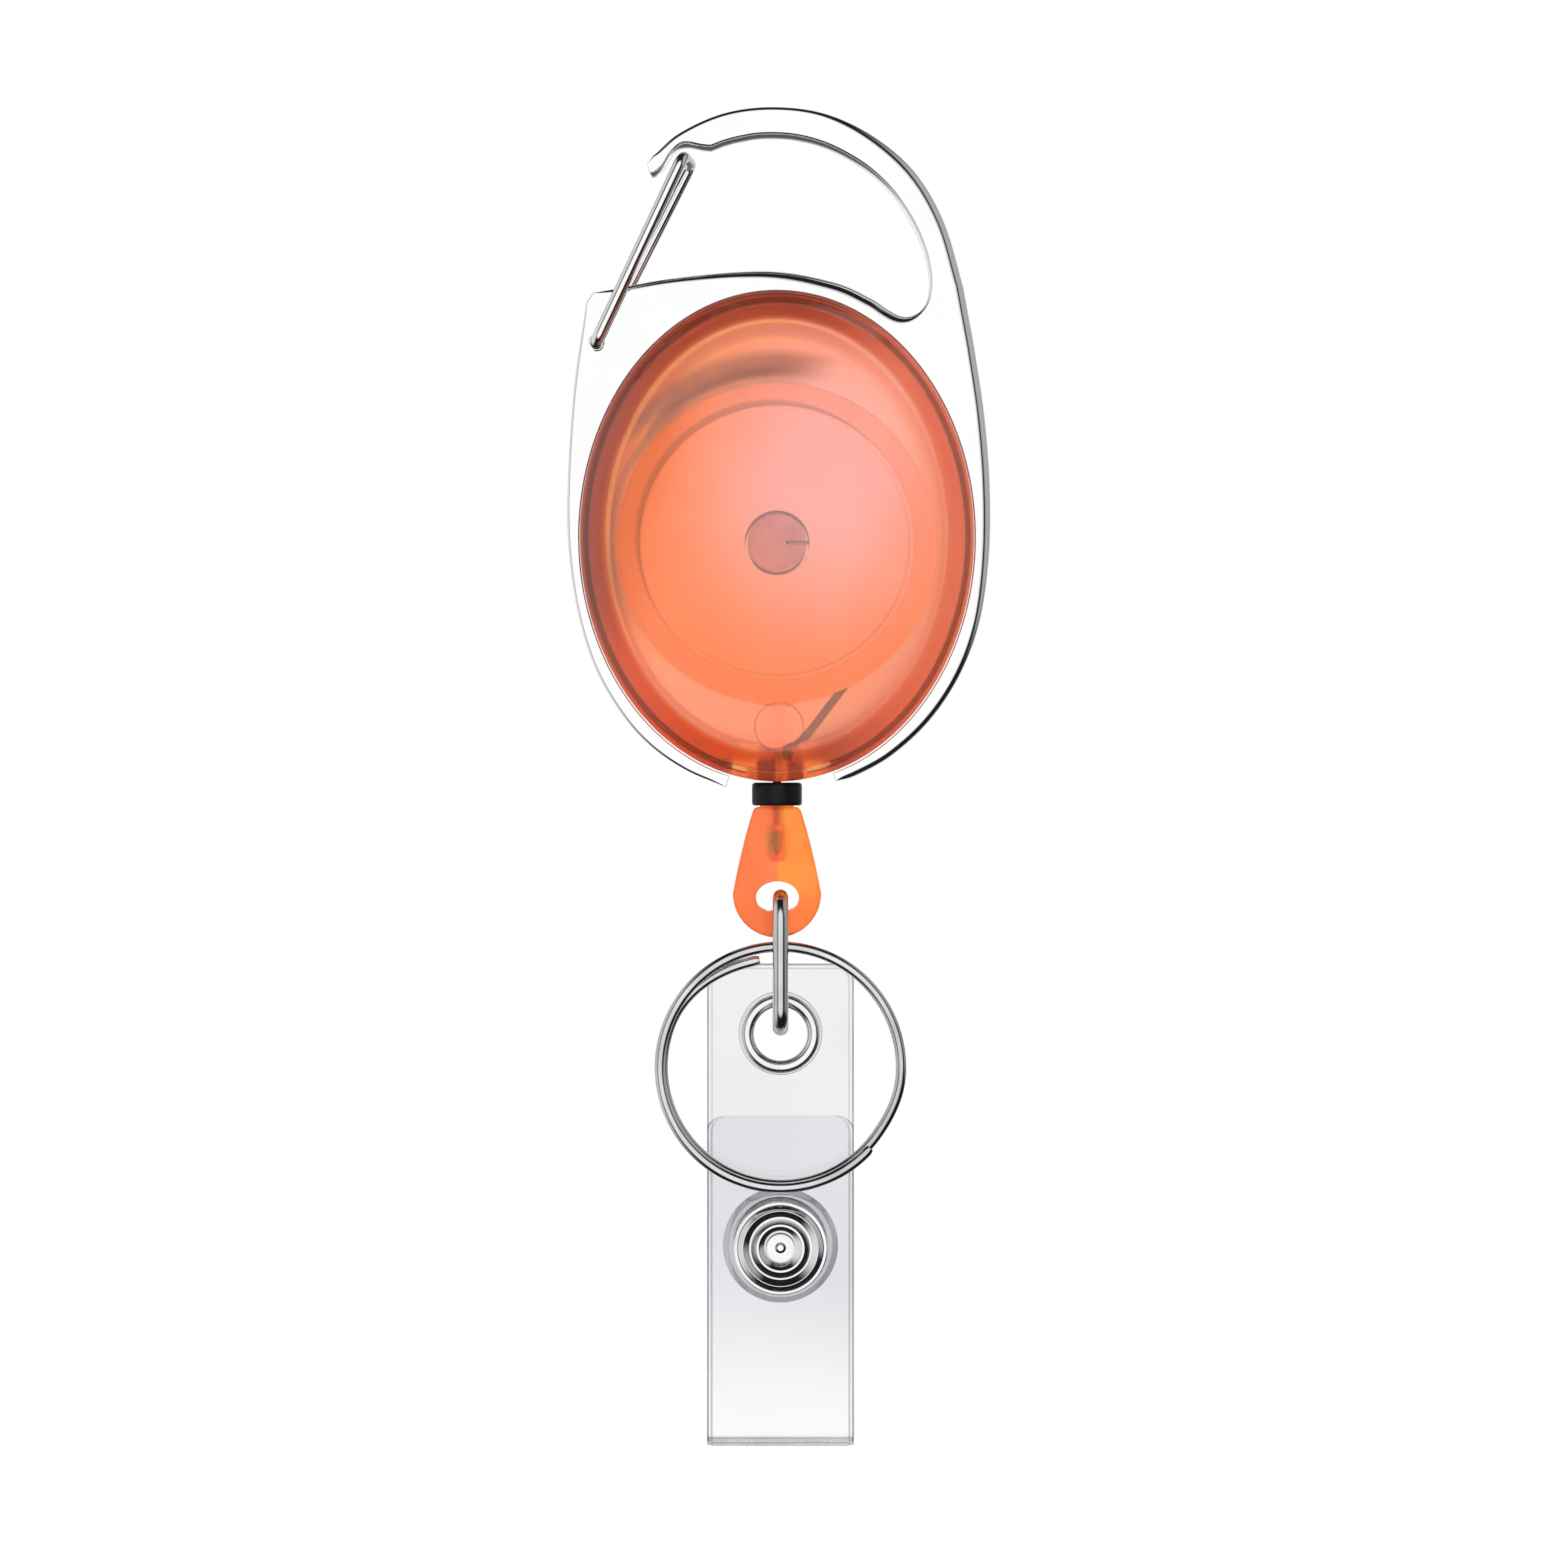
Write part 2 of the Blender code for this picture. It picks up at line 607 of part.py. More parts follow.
def link_ring(steel):
    """Closed oblong wire loop, standing front to back through the tab's hole and the eyelet."""
    side = LINK_HALF_Y - LINK_BEND
    top, foot = TAB_HOLE_Z - LINK_BEND, LINK_BAR_Z + LINK_BEND
    corners = ((-side, top, 180.0), (side, top, 90.0), (side, foot, 0.0), (-side, foot, -90.0))
    path = []
    for y, z, start in corners:
        path += [(HANG_X, *point) for point in arc((y, z), LINK_BEND, LINK_BEND, start, start - 90.0, 6)]
    bm = swept_mesh(path, round_section(LINK_WIRE, 10), closed=True)
    return mesh_object("link_ring", bm, steel, (HANG_X, 0.0, TAB_HOLE_Z), sharp=70)


def eased(t):
    """A smooth step from 0 to 1."""
    t = min(max(t, 0.0), 1.0)
    return t * t * (3 - 2 * t)


def split_ring(steel):
    """Key ring: a flat wire wound 1.6 turns, its rear end sprung a little inward."""
    start, end = 101.0, 678.0
    steps = 52
    bm = bmesh.new()
    rows = []
    half_radial, half_axial, chamfer = 0.5, 0.34, 0.16
    section = [
        (half_radial, half_axial - chamfer),
        (half_radial - chamfer, half_axial),
        (chamfer - half_radial, half_axial),
        (-half_radial, half_axial - chamfer),
        (-half_radial, chamfer - half_axial),
        (chamfer - half_radial, -half_axial),
        (half_radial - chamfer, -half_axial),
        (half_radial, chamfer - half_axial),
    ]
    for i in range(steps + 1):
        turn = start + (end - start) * i / steps
        a = radians(turn)
        radius = RING_R - 1.15 * (1 - eased((turn - start) / 60.0))
        plane = RING_PLANE_Y + 0.45 - 0.9 * eased((turn - 321.0) / 45.0)
        rows.append([
            bm.verts.new((HANG_X + (radius + r) * cos(a), plane + y, RING_Z + (radius + r) * sin(a)))
            for r, y in section
        ])
    for near, far in zip(rows, rows[1:]):
        for k in range(8):
            m = (k + 1) % 8
            bm.faces.new((near[k], near[m], far[m], far[k]))
    bm.faces.new(rows[0])
    bm.faces.new(list(reversed(rows[-1])))
    return mesh_object("split_ring", bm, steel, (HANG_X, RING_PLANE_Y, RING_Z + RING_R))


# ---------------------------------------------------------------- strap


def rounded_end(z_end, z_far):
    """Outline of a strap layer: two round corners at the top, square ones at z_far."""
    corner = 1.75
    inset = STRAP_HALF_X - corner
    points = arc((HANG_X + inset, z_end - corner), corner, corner, 0.0, 90.0, 5)
    points += arc((HANG_X - inset, z_end - corner), corner, corner, 90.0, 180.0, 5)
    return points + [(HANG_X - STRAP_HALF_X, z_far), (HANG_X + STRAP_HALF_X, z_far)]


def fold_half(name, side, mat):
    """Half of the strap's rounded fold. side -1 joins the front layer, 1 the rear one."""
    thickness = LONG_Y[1] - LONG_Y[0]
    outer = FOLD_MIDDLE_Y - LONG_Y[0]
    inner = outer - thickness
    first = radians(FOLD_GAP_DEG)
    angles = [first + (pi / 2 - first) * i / 8 for i in range(9)]
    loop = [(FOLD_MIDDLE_Y + side * outer * sin(a), FOLD_TURN_Z - outer * cos(a)) for a in angles]
    loop += [(FOLD_MIDDLE_Y + side * radius, FOLD_TURN_Z + 1.0) for radius in (outer, inner)]
    loop += [(FOLD_MIDDLE_Y + side * inner * sin(a), FOLD_TURN_Z - inner * cos(a)) for a in reversed(angles)]
    rings = [[(x, y, z) for y, z in loop] for x in (HANG_X - STRAP_HALF_X, HANG_X + STRAP_HALF_X)]
    return mesh_object(name, loft_mesh(rings), mat)


def strap_long(vinyl):
    """Front layer: from the round top corners past the eyelet and snap, with half of the fold."""
    outline = rounded_end(STRAP_TOP, FOLD_TURN_Z)
    layer = mesh_object("strap_long", plate_mesh(outline, *LONG_Y), vinyl, (HANG_X, 0.0, LINK_BAR_Z))
    join(layer, fold_half("fold", -1, vinyl))
    cut(layer, drill((HANG_X, EYELET_Z), 3.35, 0.0, 2.5), drill((HANG_X, SNAP_Z), 2.3, 0.0, 2.5))
    return layer


def strap_flap(vinyl):
    """Rear layer: the other half of the fold, up to its own round corners."""
    outline = rounded_end(FLAP_END, FOLD_TURN_Z)
    hinge = (HANG_X, FOLD_MIDDLE_Y, FOLD_Z)
    layer = mesh_object("strap_flap", plate_mesh(outline, *FLAP_Y), vinyl, hinge)
    join(layer, fold_half("fold", 1, vinyl))
    cut(layer, drill((HANG_X, SNAP_Z), 1.6, 2.4, 4.0))
    return layer


def eyelet_barrel(steel):
    """Rolled eyelet: broad front flange, barrel through the strap, and the edge turned over behind."""
    profile = [(2.68, 0.5), (2.9, 0.22), (3.4, 0.12), (3.95, 0.3), (4.05, 0.62), (3.15, 0.62)]
    profile += [(3.15, 1.85), (3.75, 1.85), (3.75, 2.1), (3.3, 2.25), (2.8, 2.1), (2.68, 1.8)]
    return turned("eyelet_barrel", profile, (HANG_X, EYELET_Z), steel, 28)


def eyelet_washer(steel):
    """Flat washer behind the strap."""
    profile = [(3.4, 1.45), (3.4, 1.7), (4.2, 1.7), (4.2, 1.45)]
    return turned("eyelet_washer", profile, (HANG_X, EYELET_Z), steel, 28)


def snap_post(steel):
    """Hollow rivet: stepped ring on the strap's front, and a short tube through the strap."""
    profile = [(1.5, 0.5), (2.0, 0.2), (2.4, 0.12), (3.6, 0.2), (3.8, 0.38), (4.5, 0.38)]
    profile += [(4.7, 0.5), (4.7, 0.65), (2.0, 0.65), (2.0, 1.3), (1.5, 1.3)]
    return turned("snap_post", profile, (HANG_X, SNAP_Z), steel, 24)


def snap_stud(steel):
    """Male half: a disc with a waisted knob, on the inside of the long layer."""
    profile = [(0.0, 1.45), (4.3, 1.45), (4.3, 1.6), (1.75, 1.6)]
    profile += [(1.65, 1.9), (1.85, 2.2), (1.7, 2.5), (0.0, 2.55)]
    return turned("snap_stud", profile, (HANG_X, SNAP_Z), steel, 24)


def snap_socket(steel):
    """Female half: a ring on the inside of the flap that the knob clicks into."""
    profile = [(2.15, 1.9), (2.15, 2.75), (4.6, 2.75), (4.6, 2.2), (4.2, 1.9)]
    return turned("snap_socket", profile, (HANG_X, SNAP_Z), steel, 28)


def snap_cap(steel):
    """Domed cap behind the flap, with its shank through the flap's hole."""
    profile = [(0.0, 2.8), (1.3, 2.8), (1.3, 3.55), (5.4, 3.55)]
    profile += [(5.8, 3.7), (5.6, 4.0), (3.6, 4.5), (0.0, 4.7)]
    return turned("snap_cap", profile, (HANG_X, SNAP_Z), steel, 28)


def main():
    """Build the whole reel."""
    clear_scene()
    chrome = material("chrome_frame", CHROME, 0.12, 1.0)
    steel = material("plated_steel", (0.72, 0.73, 0.75), 0.18, 1.0)
    spring_steel = material("spring_steel", (0.45, 0.46, 0.48), 0.3, 1.0)
    orange = material("orange_plastic", ORANGE, 0.15, 0.0, 0.6)
    pink = material("reel_plastic", (0.95, 0.45, 0.38), 0.35)
    grey = material("axle_metal", (0.62, 0.52, 0.50), 0.45)
    cloth = material("cord", BLACK, 0.8)
    rubber = material("black_collar", BLACK, 0.35)
    vinyl = material("clear_vinyl", VINYL, 0.1, 0.0, 0.35)
    carabiner_frame(chrome)
    wire_gate(steel)
    front_shell(orange)
    rear_shell(orange)
    cord_guide(orange)
    axle_post(grey)
    spool(pink)
    spool_cover(pink)
    wound_cord(cloth)
    mainspring(spring_steel)
    cord_tail(cloth)
    cord_knot(cloth)
    stop_collar(rubber)
    pull_tab(orange)
    link_ring(steel)
    split_ring(steel)
    strap_long(vinyl)
    strap_flap(vinyl)
    eyelet_barrel(steel)
    eyelet_washer(steel)
    snap_post(steel)
    snap_stud(steel)
    snap_socket(steel)
    snap_cap(steel)


main()
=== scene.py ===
"""Looks of a retractable badge reel: the fine surface of every piece, materials, light and camera.

Shapes are drawn in millimetres about the middle of the oval housing, as in part.py, and placed in
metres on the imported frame. Front is -Y, up is +Z.
"""

from math import cos, pi, radians, sin, sqrt

import bmesh
import bpy
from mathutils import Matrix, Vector


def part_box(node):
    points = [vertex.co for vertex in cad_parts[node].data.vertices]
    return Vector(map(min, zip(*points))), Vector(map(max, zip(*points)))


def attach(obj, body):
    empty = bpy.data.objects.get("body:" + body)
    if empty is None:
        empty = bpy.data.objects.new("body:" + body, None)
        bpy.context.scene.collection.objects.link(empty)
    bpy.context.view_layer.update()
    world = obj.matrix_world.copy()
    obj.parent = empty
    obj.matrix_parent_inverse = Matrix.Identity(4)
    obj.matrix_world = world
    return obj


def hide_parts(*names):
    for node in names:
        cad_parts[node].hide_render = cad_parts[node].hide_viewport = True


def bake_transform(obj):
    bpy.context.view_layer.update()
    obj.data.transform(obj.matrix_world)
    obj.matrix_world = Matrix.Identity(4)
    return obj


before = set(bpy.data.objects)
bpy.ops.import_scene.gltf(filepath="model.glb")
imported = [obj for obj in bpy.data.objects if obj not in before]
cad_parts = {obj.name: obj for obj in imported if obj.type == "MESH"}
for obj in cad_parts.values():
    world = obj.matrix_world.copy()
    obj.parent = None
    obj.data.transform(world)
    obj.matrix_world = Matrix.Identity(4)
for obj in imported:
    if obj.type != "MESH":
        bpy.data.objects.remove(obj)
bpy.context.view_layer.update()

MM = 0.001


def middle(node):
    """The middle of a CAD node's box."""
    low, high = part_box(node)
    return (Vector(low) + Vector(high)) / 2


def millimetres(node):
    """A CAD node's lowest and highest corner, in millimetres about the housing's middle."""
    return [(Vector(corner) - HOUSING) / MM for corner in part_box(node)]


HOUSING = Vector((0.0, 0.0, middle("front_shell").z))
MIDDLE_Z = HOUSING.z / MM

frame_high = millimetres("carabiner_frame")[1]
shell_low, shell_high = millimetres("front_shell")
spool_low, spool_high = millimetres("spool")
collar_low, collar_high = millimetres("stop_collar")
tab_high = millimetres("pull_tab")[1]
link_low, link_high = millimetres("link_ring")
ring_low, ring_high = millimetres("split_ring")
strap_low, strap_high = millimetres("strap_long")
flap_high = millimetres("strap_flap")[1]
eyelet_low, eyelet_high = millimetres("eyelet_barrel")
snap_low, snap_high = millimetres("snap_post")

# Carabiner frame and gate, in millimetres as part.py draws them
PLATE_HALF = frame_high.y
CLASP_X, CLASP_Z = 19.72, 24.52
TONGUE_HALF, TONGUE_DEPTH = 0.6, 1.5
GATE_PIVOT = (-18.0, 19.3)
GATE_TOP = (-9.35, 37.75)
GATE_WIRE, GATE_LEG_Y, GATE_REAR_SHIFT = 0.6, 2.9, 0.7

# Housing
FACE_Y = -shell_low.y
WAIST_X, WAIST_Z = shell_high.x, shell_high.z
FACE_X, FACE_Z = WAIST_X - 2.5, WAIST_Z - 2.85
WAIST_Y, RIM_Y, WALL = 2.6, 0.9, 1.2
BOSS_CENTRE, BOSS_R = (-0.2, -19.05), 2.0
NOTCH_X, NOTCH_Y = 2.9, 2.1

# Reel
AXIS = ((spool_low.x + spool_high.x) / 2, (spool_low.z + spool_high.z) / 2)
FLANGE_R = (spool_high.x - spool_low.x) / 2
DRUM_R, COVER_R, AXLE_R = 12.9, 13.6, 2.9
CORD_R = 0.43

# Tab, link, key ring and strap
TAB_TOP, TAB_TOP_HALF_X, TAB_FOOT_Z, TAB_FOOT_R = -26.9, 2.25, -35.5, 4.4
TAB_HALF_Y = tab_high.y
COLLAR_R = collar_high.x
KNOT_Z = -30.3
HANG_X = (link_low.x + link_high.x) / 2
LINK_WIRE, LINK_BEND = 0.78, 2.0
RING_R, RING_WIRE = 12.0, 0.5
RING_PLANE_Y = (ring_low.y + ring_high.y) / 2
RING_Z = ring_low.z + RING_R + RING_WIRE
EYELET_Z = (eyelet_low.z + eyelet_high.z) / 2
SNAP_Z = (snap_low.z + snap_high.z) / 2
STRAP_HALF_X = (strap_high.x - strap_low.x) / 2
STRAP_THICK, STRAP_CORNER = 0.5, 1.75
LAYER_Y, FLAP_Y = strap_low.y + STRAP_THICK / 2, flap_high.y - STRAP_THICK / 2
FOLD_R = (FLAP_Y - LAYER_Y) / 2
FOLD_TURN_Z = strap_low.z + FOLD_R + STRAP_THICK / 2


# ---------------------------------------------------------------- shapes


def add_object(name, data):
    """A new object in the scene."""
    obj = bpy.data.objects.new(name, data)
    bpy.context.scene.collection.objects.link(obj)
    return obj


def place(point):
    """A point in millimetres about the housing's middle, in metres in the shared frame."""
    return HOUSING + Vector(point) * MM


def smooth_path(points, steps):
    """Points along a Catmull-Rom curve through the given ones, ends included."""
    first = [2 * a - b for a, b in zip(points[0], points[1])]
    last = [2 * a - b for a, b in zip(points[-1], points[-2])]
    chain = [first, *points, last]
    path = []
    for i in range(1, len(chain) - 2):
        corners = chain[i - 1 : i + 3]
        for step in range(steps):
            t = step / steps
            weights = (
                (-t + 2 * t**2 - t**3) / 2,
                (2 - 5 * t**2 + 3 * t**3) / 2,
                (t + 4 * t**2 - 3 * t**3) / 2,
                (t**3 - t**2) / 2,
            )
            path.append([sum(w * c[k] for w, c in zip(weights, corners)) for k in range(len(points[0]))])
    path.append(list(points[-1]))
    return path


def arc(centre, radius_x, radius_z, start, end, steps):
    """Points on an arc of an ellipse, from start to end degrees."""
    angles = [radians(start + (end - start) * i / steps) for i in range(steps + 1)]
    return [(centre[0] + radius_x * cos(a), centre[1] + radius_z * sin(a)) for a in angles]


def rounded_corners(points, reach, steps):
    """A polyline whose inner corners are rounded off, starting reach before each of them."""
    path = [Vector(points[0])]
    for before, corner, after in zip(points, points[1:], points[2:]):
        corner = Vector(corner)
        arm_in, arm_out = Vector(before) - corner, Vector(after) - corner
        start = corner + arm_in.normalized() * min(reach, arm_in.length * 0.48)
        end = corner + arm_out.normalized() * min(reach, arm_out.length * 0.48)
        for i in range(steps + 1):
            t = i / steps
            path.append(start * (1 - t) ** 2 + corner * 2 * t * (1 - t) + end * t**2)
    path.append(Vector(points[-1]))
    return path


def eased(t):
    """A smooth step from 0 to 1."""
    t = min(max(t, 0.0), 1.0)
    return t * t * (3 - 2 * t)


def plate(outline, y_front, y_back):
    """A closed plate: an outline of (x, z) points extruded along Y."""
    bm = bmesh.new()
    front = bm.faces.new([bm.verts.new((x, y_front, z)) for x, z in outline])
    moved = bmesh.ops.extrude_face_region(bm, geom=[front])["geom"]
    back = [v for v in moved if isinstance(v, bmesh.types.BMVert)]
    bmesh.ops.translate(bm, verts=back, vec=(0.0, y_back - y_front, 0.0))
    return bm


def room(here, inward, points):
    """How far the far side of the plate is from a point of its outline, across the material."""
    spans = (point - here for point in points)
    return min((v.length for v in spans if v.dot(inward) > 0.6 * v.length and v.length > 0.01), default=9.0)


def rounded_plate(outline, half):
    """A plate whose rim is rounded over. Each outline point is (x, z, radius of the rounding)."""
    steps = 6
    points = [Vector(point[:2]) for point in outline]
    count = len(points)
    area = sum(a.x * b.y - b.x * a.y for a, b in zip(points, points[1:] + points[:1]))
    turn = 1 if area > 0 else -1
    inward, corners, limits = [], [], []
    for i, here in enumerate(points):
        along_in = (here - points[i - 1]).normalized()
        along_out = (points[(i + 1) % count] - here).normalized()
        normals = [Vector((-v.y, v.x)) * turn for v in (along_in, along_out)]
        together = normals[0] + normals[1]
        inward.append(together / max(1 + normals[0].dot(normals[1]), 0.5))
        share = 0.35 + 0.35 * outline[i][2]
        limits.append(share * room(here, together.normalized(), points))
        if along_in.cross(along_out) * turn > sin(radians(30)):
            corners.append(here)
    spare = [0.05 + 0.7 * min((here - corner).length for corner in corners) for here in points]
    limits = [min(pair) for pair in zip(limits, spare)]
    radii = [min(point[2], limit) for point, limit in zip(outline, limits)]
    for _ in range(6):
        blurred = [(radii[i - 1] + radii[i] + radii[(i + 1) % count]) / 3 for i in range(count)]
        radii = [min(radius, limit) for radius, limit in zip(blurred, limits)]
    rings = []
    for side in (-1, 1):
        for step in range(steps + 1):
            angle = pi / 2 * (1 - step / steps if side < 0 else step / steps)
            ring = []
            for here, push, radius in zip(points, inward, radii):
                x, z = here + push * radius * (1 - cos(angle))
                ring.append((x, side * (half - radius * (1 - sin(angle))), z))
            rings.append(ring)
    return loft(rings)


def loft(rings):
    """A solid through rings of points that match one to one, capped at both ends."""
    bm = bmesh.new()
    loops = [[bm.verts.new(point) for point in ring] for ring in rings]
    for near, far in zip(loops, loops[1:]):
        for i in range(len(near)):
            j = (i + 1) % len(near)
            bm.faces.new((near[i], near[j], far[j], far[i]))
    bm.faces.new(loops[0])
    bm.faces.new(list(reversed(loops[-1])))
    return bm


def turned(profile, centre, steps=96):
    """A closed ring or disc: (radius, y) points turned about Y through centre (x, z)."""
    bm = bmesh.new()
    verts = [bm.verts.new((centre[0] + r, y, centre[1])) for r, y in profile]
    edges = [bm.edges.new(pair) for pair in zip(verts, verts[1:])]
    if profile[0][0] > 0:
        edges.append(bm.edges.new((verts[-1], verts[0])))
    circle = {"cent": (centre[0], 0.0, centre[1]), "axis": (0.0, 1.0, 0.0), "angle": 2 * pi, "steps": steps}
    bmesh.ops.spin(bm, geom=verts + edges, use_merge=True, **circle)
    bmesh.ops.remove_doubles(bm, verts=bm.verts, dist=1e-4)
    return bm


def upright(profile, steps=64):
    """A closed solid turned about a vertical axis: profile points are (radius, z)."""
    bm = turned(profile, (0.0, 0.0), steps)
    for vert in bm.verts:
        x, y, z = vert.co
        vert.co = (x, -z, y)
    return bm


def softened(profile, reach=0.12, steps=3):
    """A closed turned profile with its corners rounded off."""
    corners = [(r, y, 0.0) for r, y in profile]
    ring = [corners[-1], *corners, corners[0]]
    path = rounded_corners(ring, reach, steps)[1:-1]
    return [(p.x, p.y) for p in path]


def tube_mesh(name, points, radius, cyclic=False, sides=5):
    """A mesh tube along points in millimetres, made from a bevelled curve."""
    curve = bpy.data.curves.new(name, "CURVE")
    curve.dimensions = "3D"
    curve.bevel_depth = radius * MM
    curve.bevel_resolution = sides
    curve.use_fill_caps = True
    spline = curve.splines.new("POLY")
    spline.points.add(len(points) - 1)
    spline.use_cyclic_u = cyclic
    for slot, point in zip(spline.points, points):
        slot.co = (*place(point), 1.0)
    holder = add_object(name, curve)
    mesh = bpy.data.meshes.new_from_object(holder.evaluated_get(bpy.context.evaluated_depsgraph_get()))
    bpy.data.objects.remove(holder)
    bpy.data.curves.remove(curve)
    return mesh


def shade(mesh, sharp):
    """Smooth shading with edges kept sharp above an angle, and round every broad flat face."""
    mesh.shade_smooth()
    mesh.set_sharp_from_angle(angle=radians(sharp))
    bm = bmesh.new()
    bm.from_mesh(mesh)
    for face in bm.faces:
        if len(face.verts) > 40:
            for edge in face.edges:
                edge.smooth = False
    bm.to_mesh(mesh)
    bm.free()


def as_object(name, shape, sharp=40.0):
    """An object from a bmesh in millimetres or a ready mesh in metres."""
    if isinstance(shape, bmesh.types.BMesh):
        for vert in shape.verts:
            vert.co = place(vert.co)
        bmesh.ops.recalc_face_normals(shape, faces=shape.faces)
        mesh = bpy.data.meshes.new(name)
        shape.to_mesh(mesh)
        shape.free()
    else:
        mesh = shape
    shade(mesh, sharp)
    return add_object(name, mesh)


def settle(obj, sharp=40.0):
    """Apply an object's modifiers to its mesh."""
    graph = bpy.context.evaluated_depsgraph_get()
    mesh = bpy.data.meshes.new_from_object(obj.evaluated_get(graph))
    obj.modifiers.clear()
    obj.data = mesh
    shade(mesh, sharp)
    return obj


def carve(obj, operation, *tools, sharp=40.0):
    """Cut tools from obj, or join them to it, and remove them."""
    for tool in tools:
        boolean = obj.modifiers.new(operation, "BOOLEAN")
        boolean.operation = operation
        boolean.object = tool
    settle(obj, sharp)
    for tool in tools:
        bpy.data.objects.remove(tool, do_unlink=True)
    return obj


def drill(centre, radius, y_front, y_back):
    """A round cutter along Y."""
    profile = [(0.0, y_front), (radius, y_front), (radius, y_back), (0.0, y_back)]
    return as_object("drill", turned(profile, centre, 64))


def block(x_span, y_span, z_span):
    """A plain box cutter."""
    (x0, x1), (z0, z1) = x_span, z_span
    return as_object("block", plate([(x0, z0), (x1, z0), (x1, z1), (x0, z1)], *y_span))


def finish_piece(obj, body, slot, mat, *replaced):
    """Give a piece its material and body, and hide the CAD nodes it stands for; the slot is not used."""
    obj.data.materials.clear()
    obj.data.materials.append(mat)
    if replaced:
        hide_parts(*replaced)
    if body:
        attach(obj, body)
    return obj


def piece(node, shape, body, slot, mat, sharp=40.0):
    """A ready shape as the piece that stands for one CAD node."""
    return finish_piece(as_object(node + "_fine", shape, sharp), body, slot, mat, node)


# ---------------------------------------------------------------- materials


class Nodes:
    """A node tree with short calls for adding and joining nodes."""

    def __init__(self, tree):
        self.tree = tree

    def add(self, kind, **settings):
        """A node with its properties set."""
        node = self.tree.nodes.new(kind)
        for key, value in settings.items():
            setattr(node, key, value)
        return node

    def link(self, source, target):
        """Join two sockets."""
        self.tree.links.new(source, target)

    def span(self, source, low, high, from_low=0.3, from_high=0.7):
        """A value mapped from one range to another, and held at its ends."""
        node = self.add("ShaderNodeMapRange", interpolation_type="SMOOTHSTEP")
        settings = {"From Min": from_low, "From Max": from_high, "To Min": low, "To Max": high}
        for key, value in settings.items():
            node.inputs[key].default_value = value
        self.link(source, node.inputs["Value"])
        return node.outputs["Result"]

    def math(self, operation, first, second):
        """Two values combined."""
        node = self.add("ShaderNodeMath", operation=operation)
        self.link(first, node.inputs[0])
        self.link(second, node.inputs[1])
        return node.outputs["Value"]

    def band(self, source, rise_from, rise_to, fall_from, fall_to, top=1.0):
        """A value that rises to top, stays there, and falls back to nothing along the source."""
        rise = self.span(source, 0.0, top, rise_from, rise_to)
        return self.math("MULTIPLY", rise, self.span(source, 1.0, 0.0, fall_from, fall_to))

    def dot(self, source, vector):
        """A vector's component along a fixed one."""
        node = self.add("ShaderNodeVectorMath", operation="DOT_PRODUCT")
        node.inputs[1].default_value = vector
        self.link(source, node.inputs[0])
        return node.outputs["Value"]


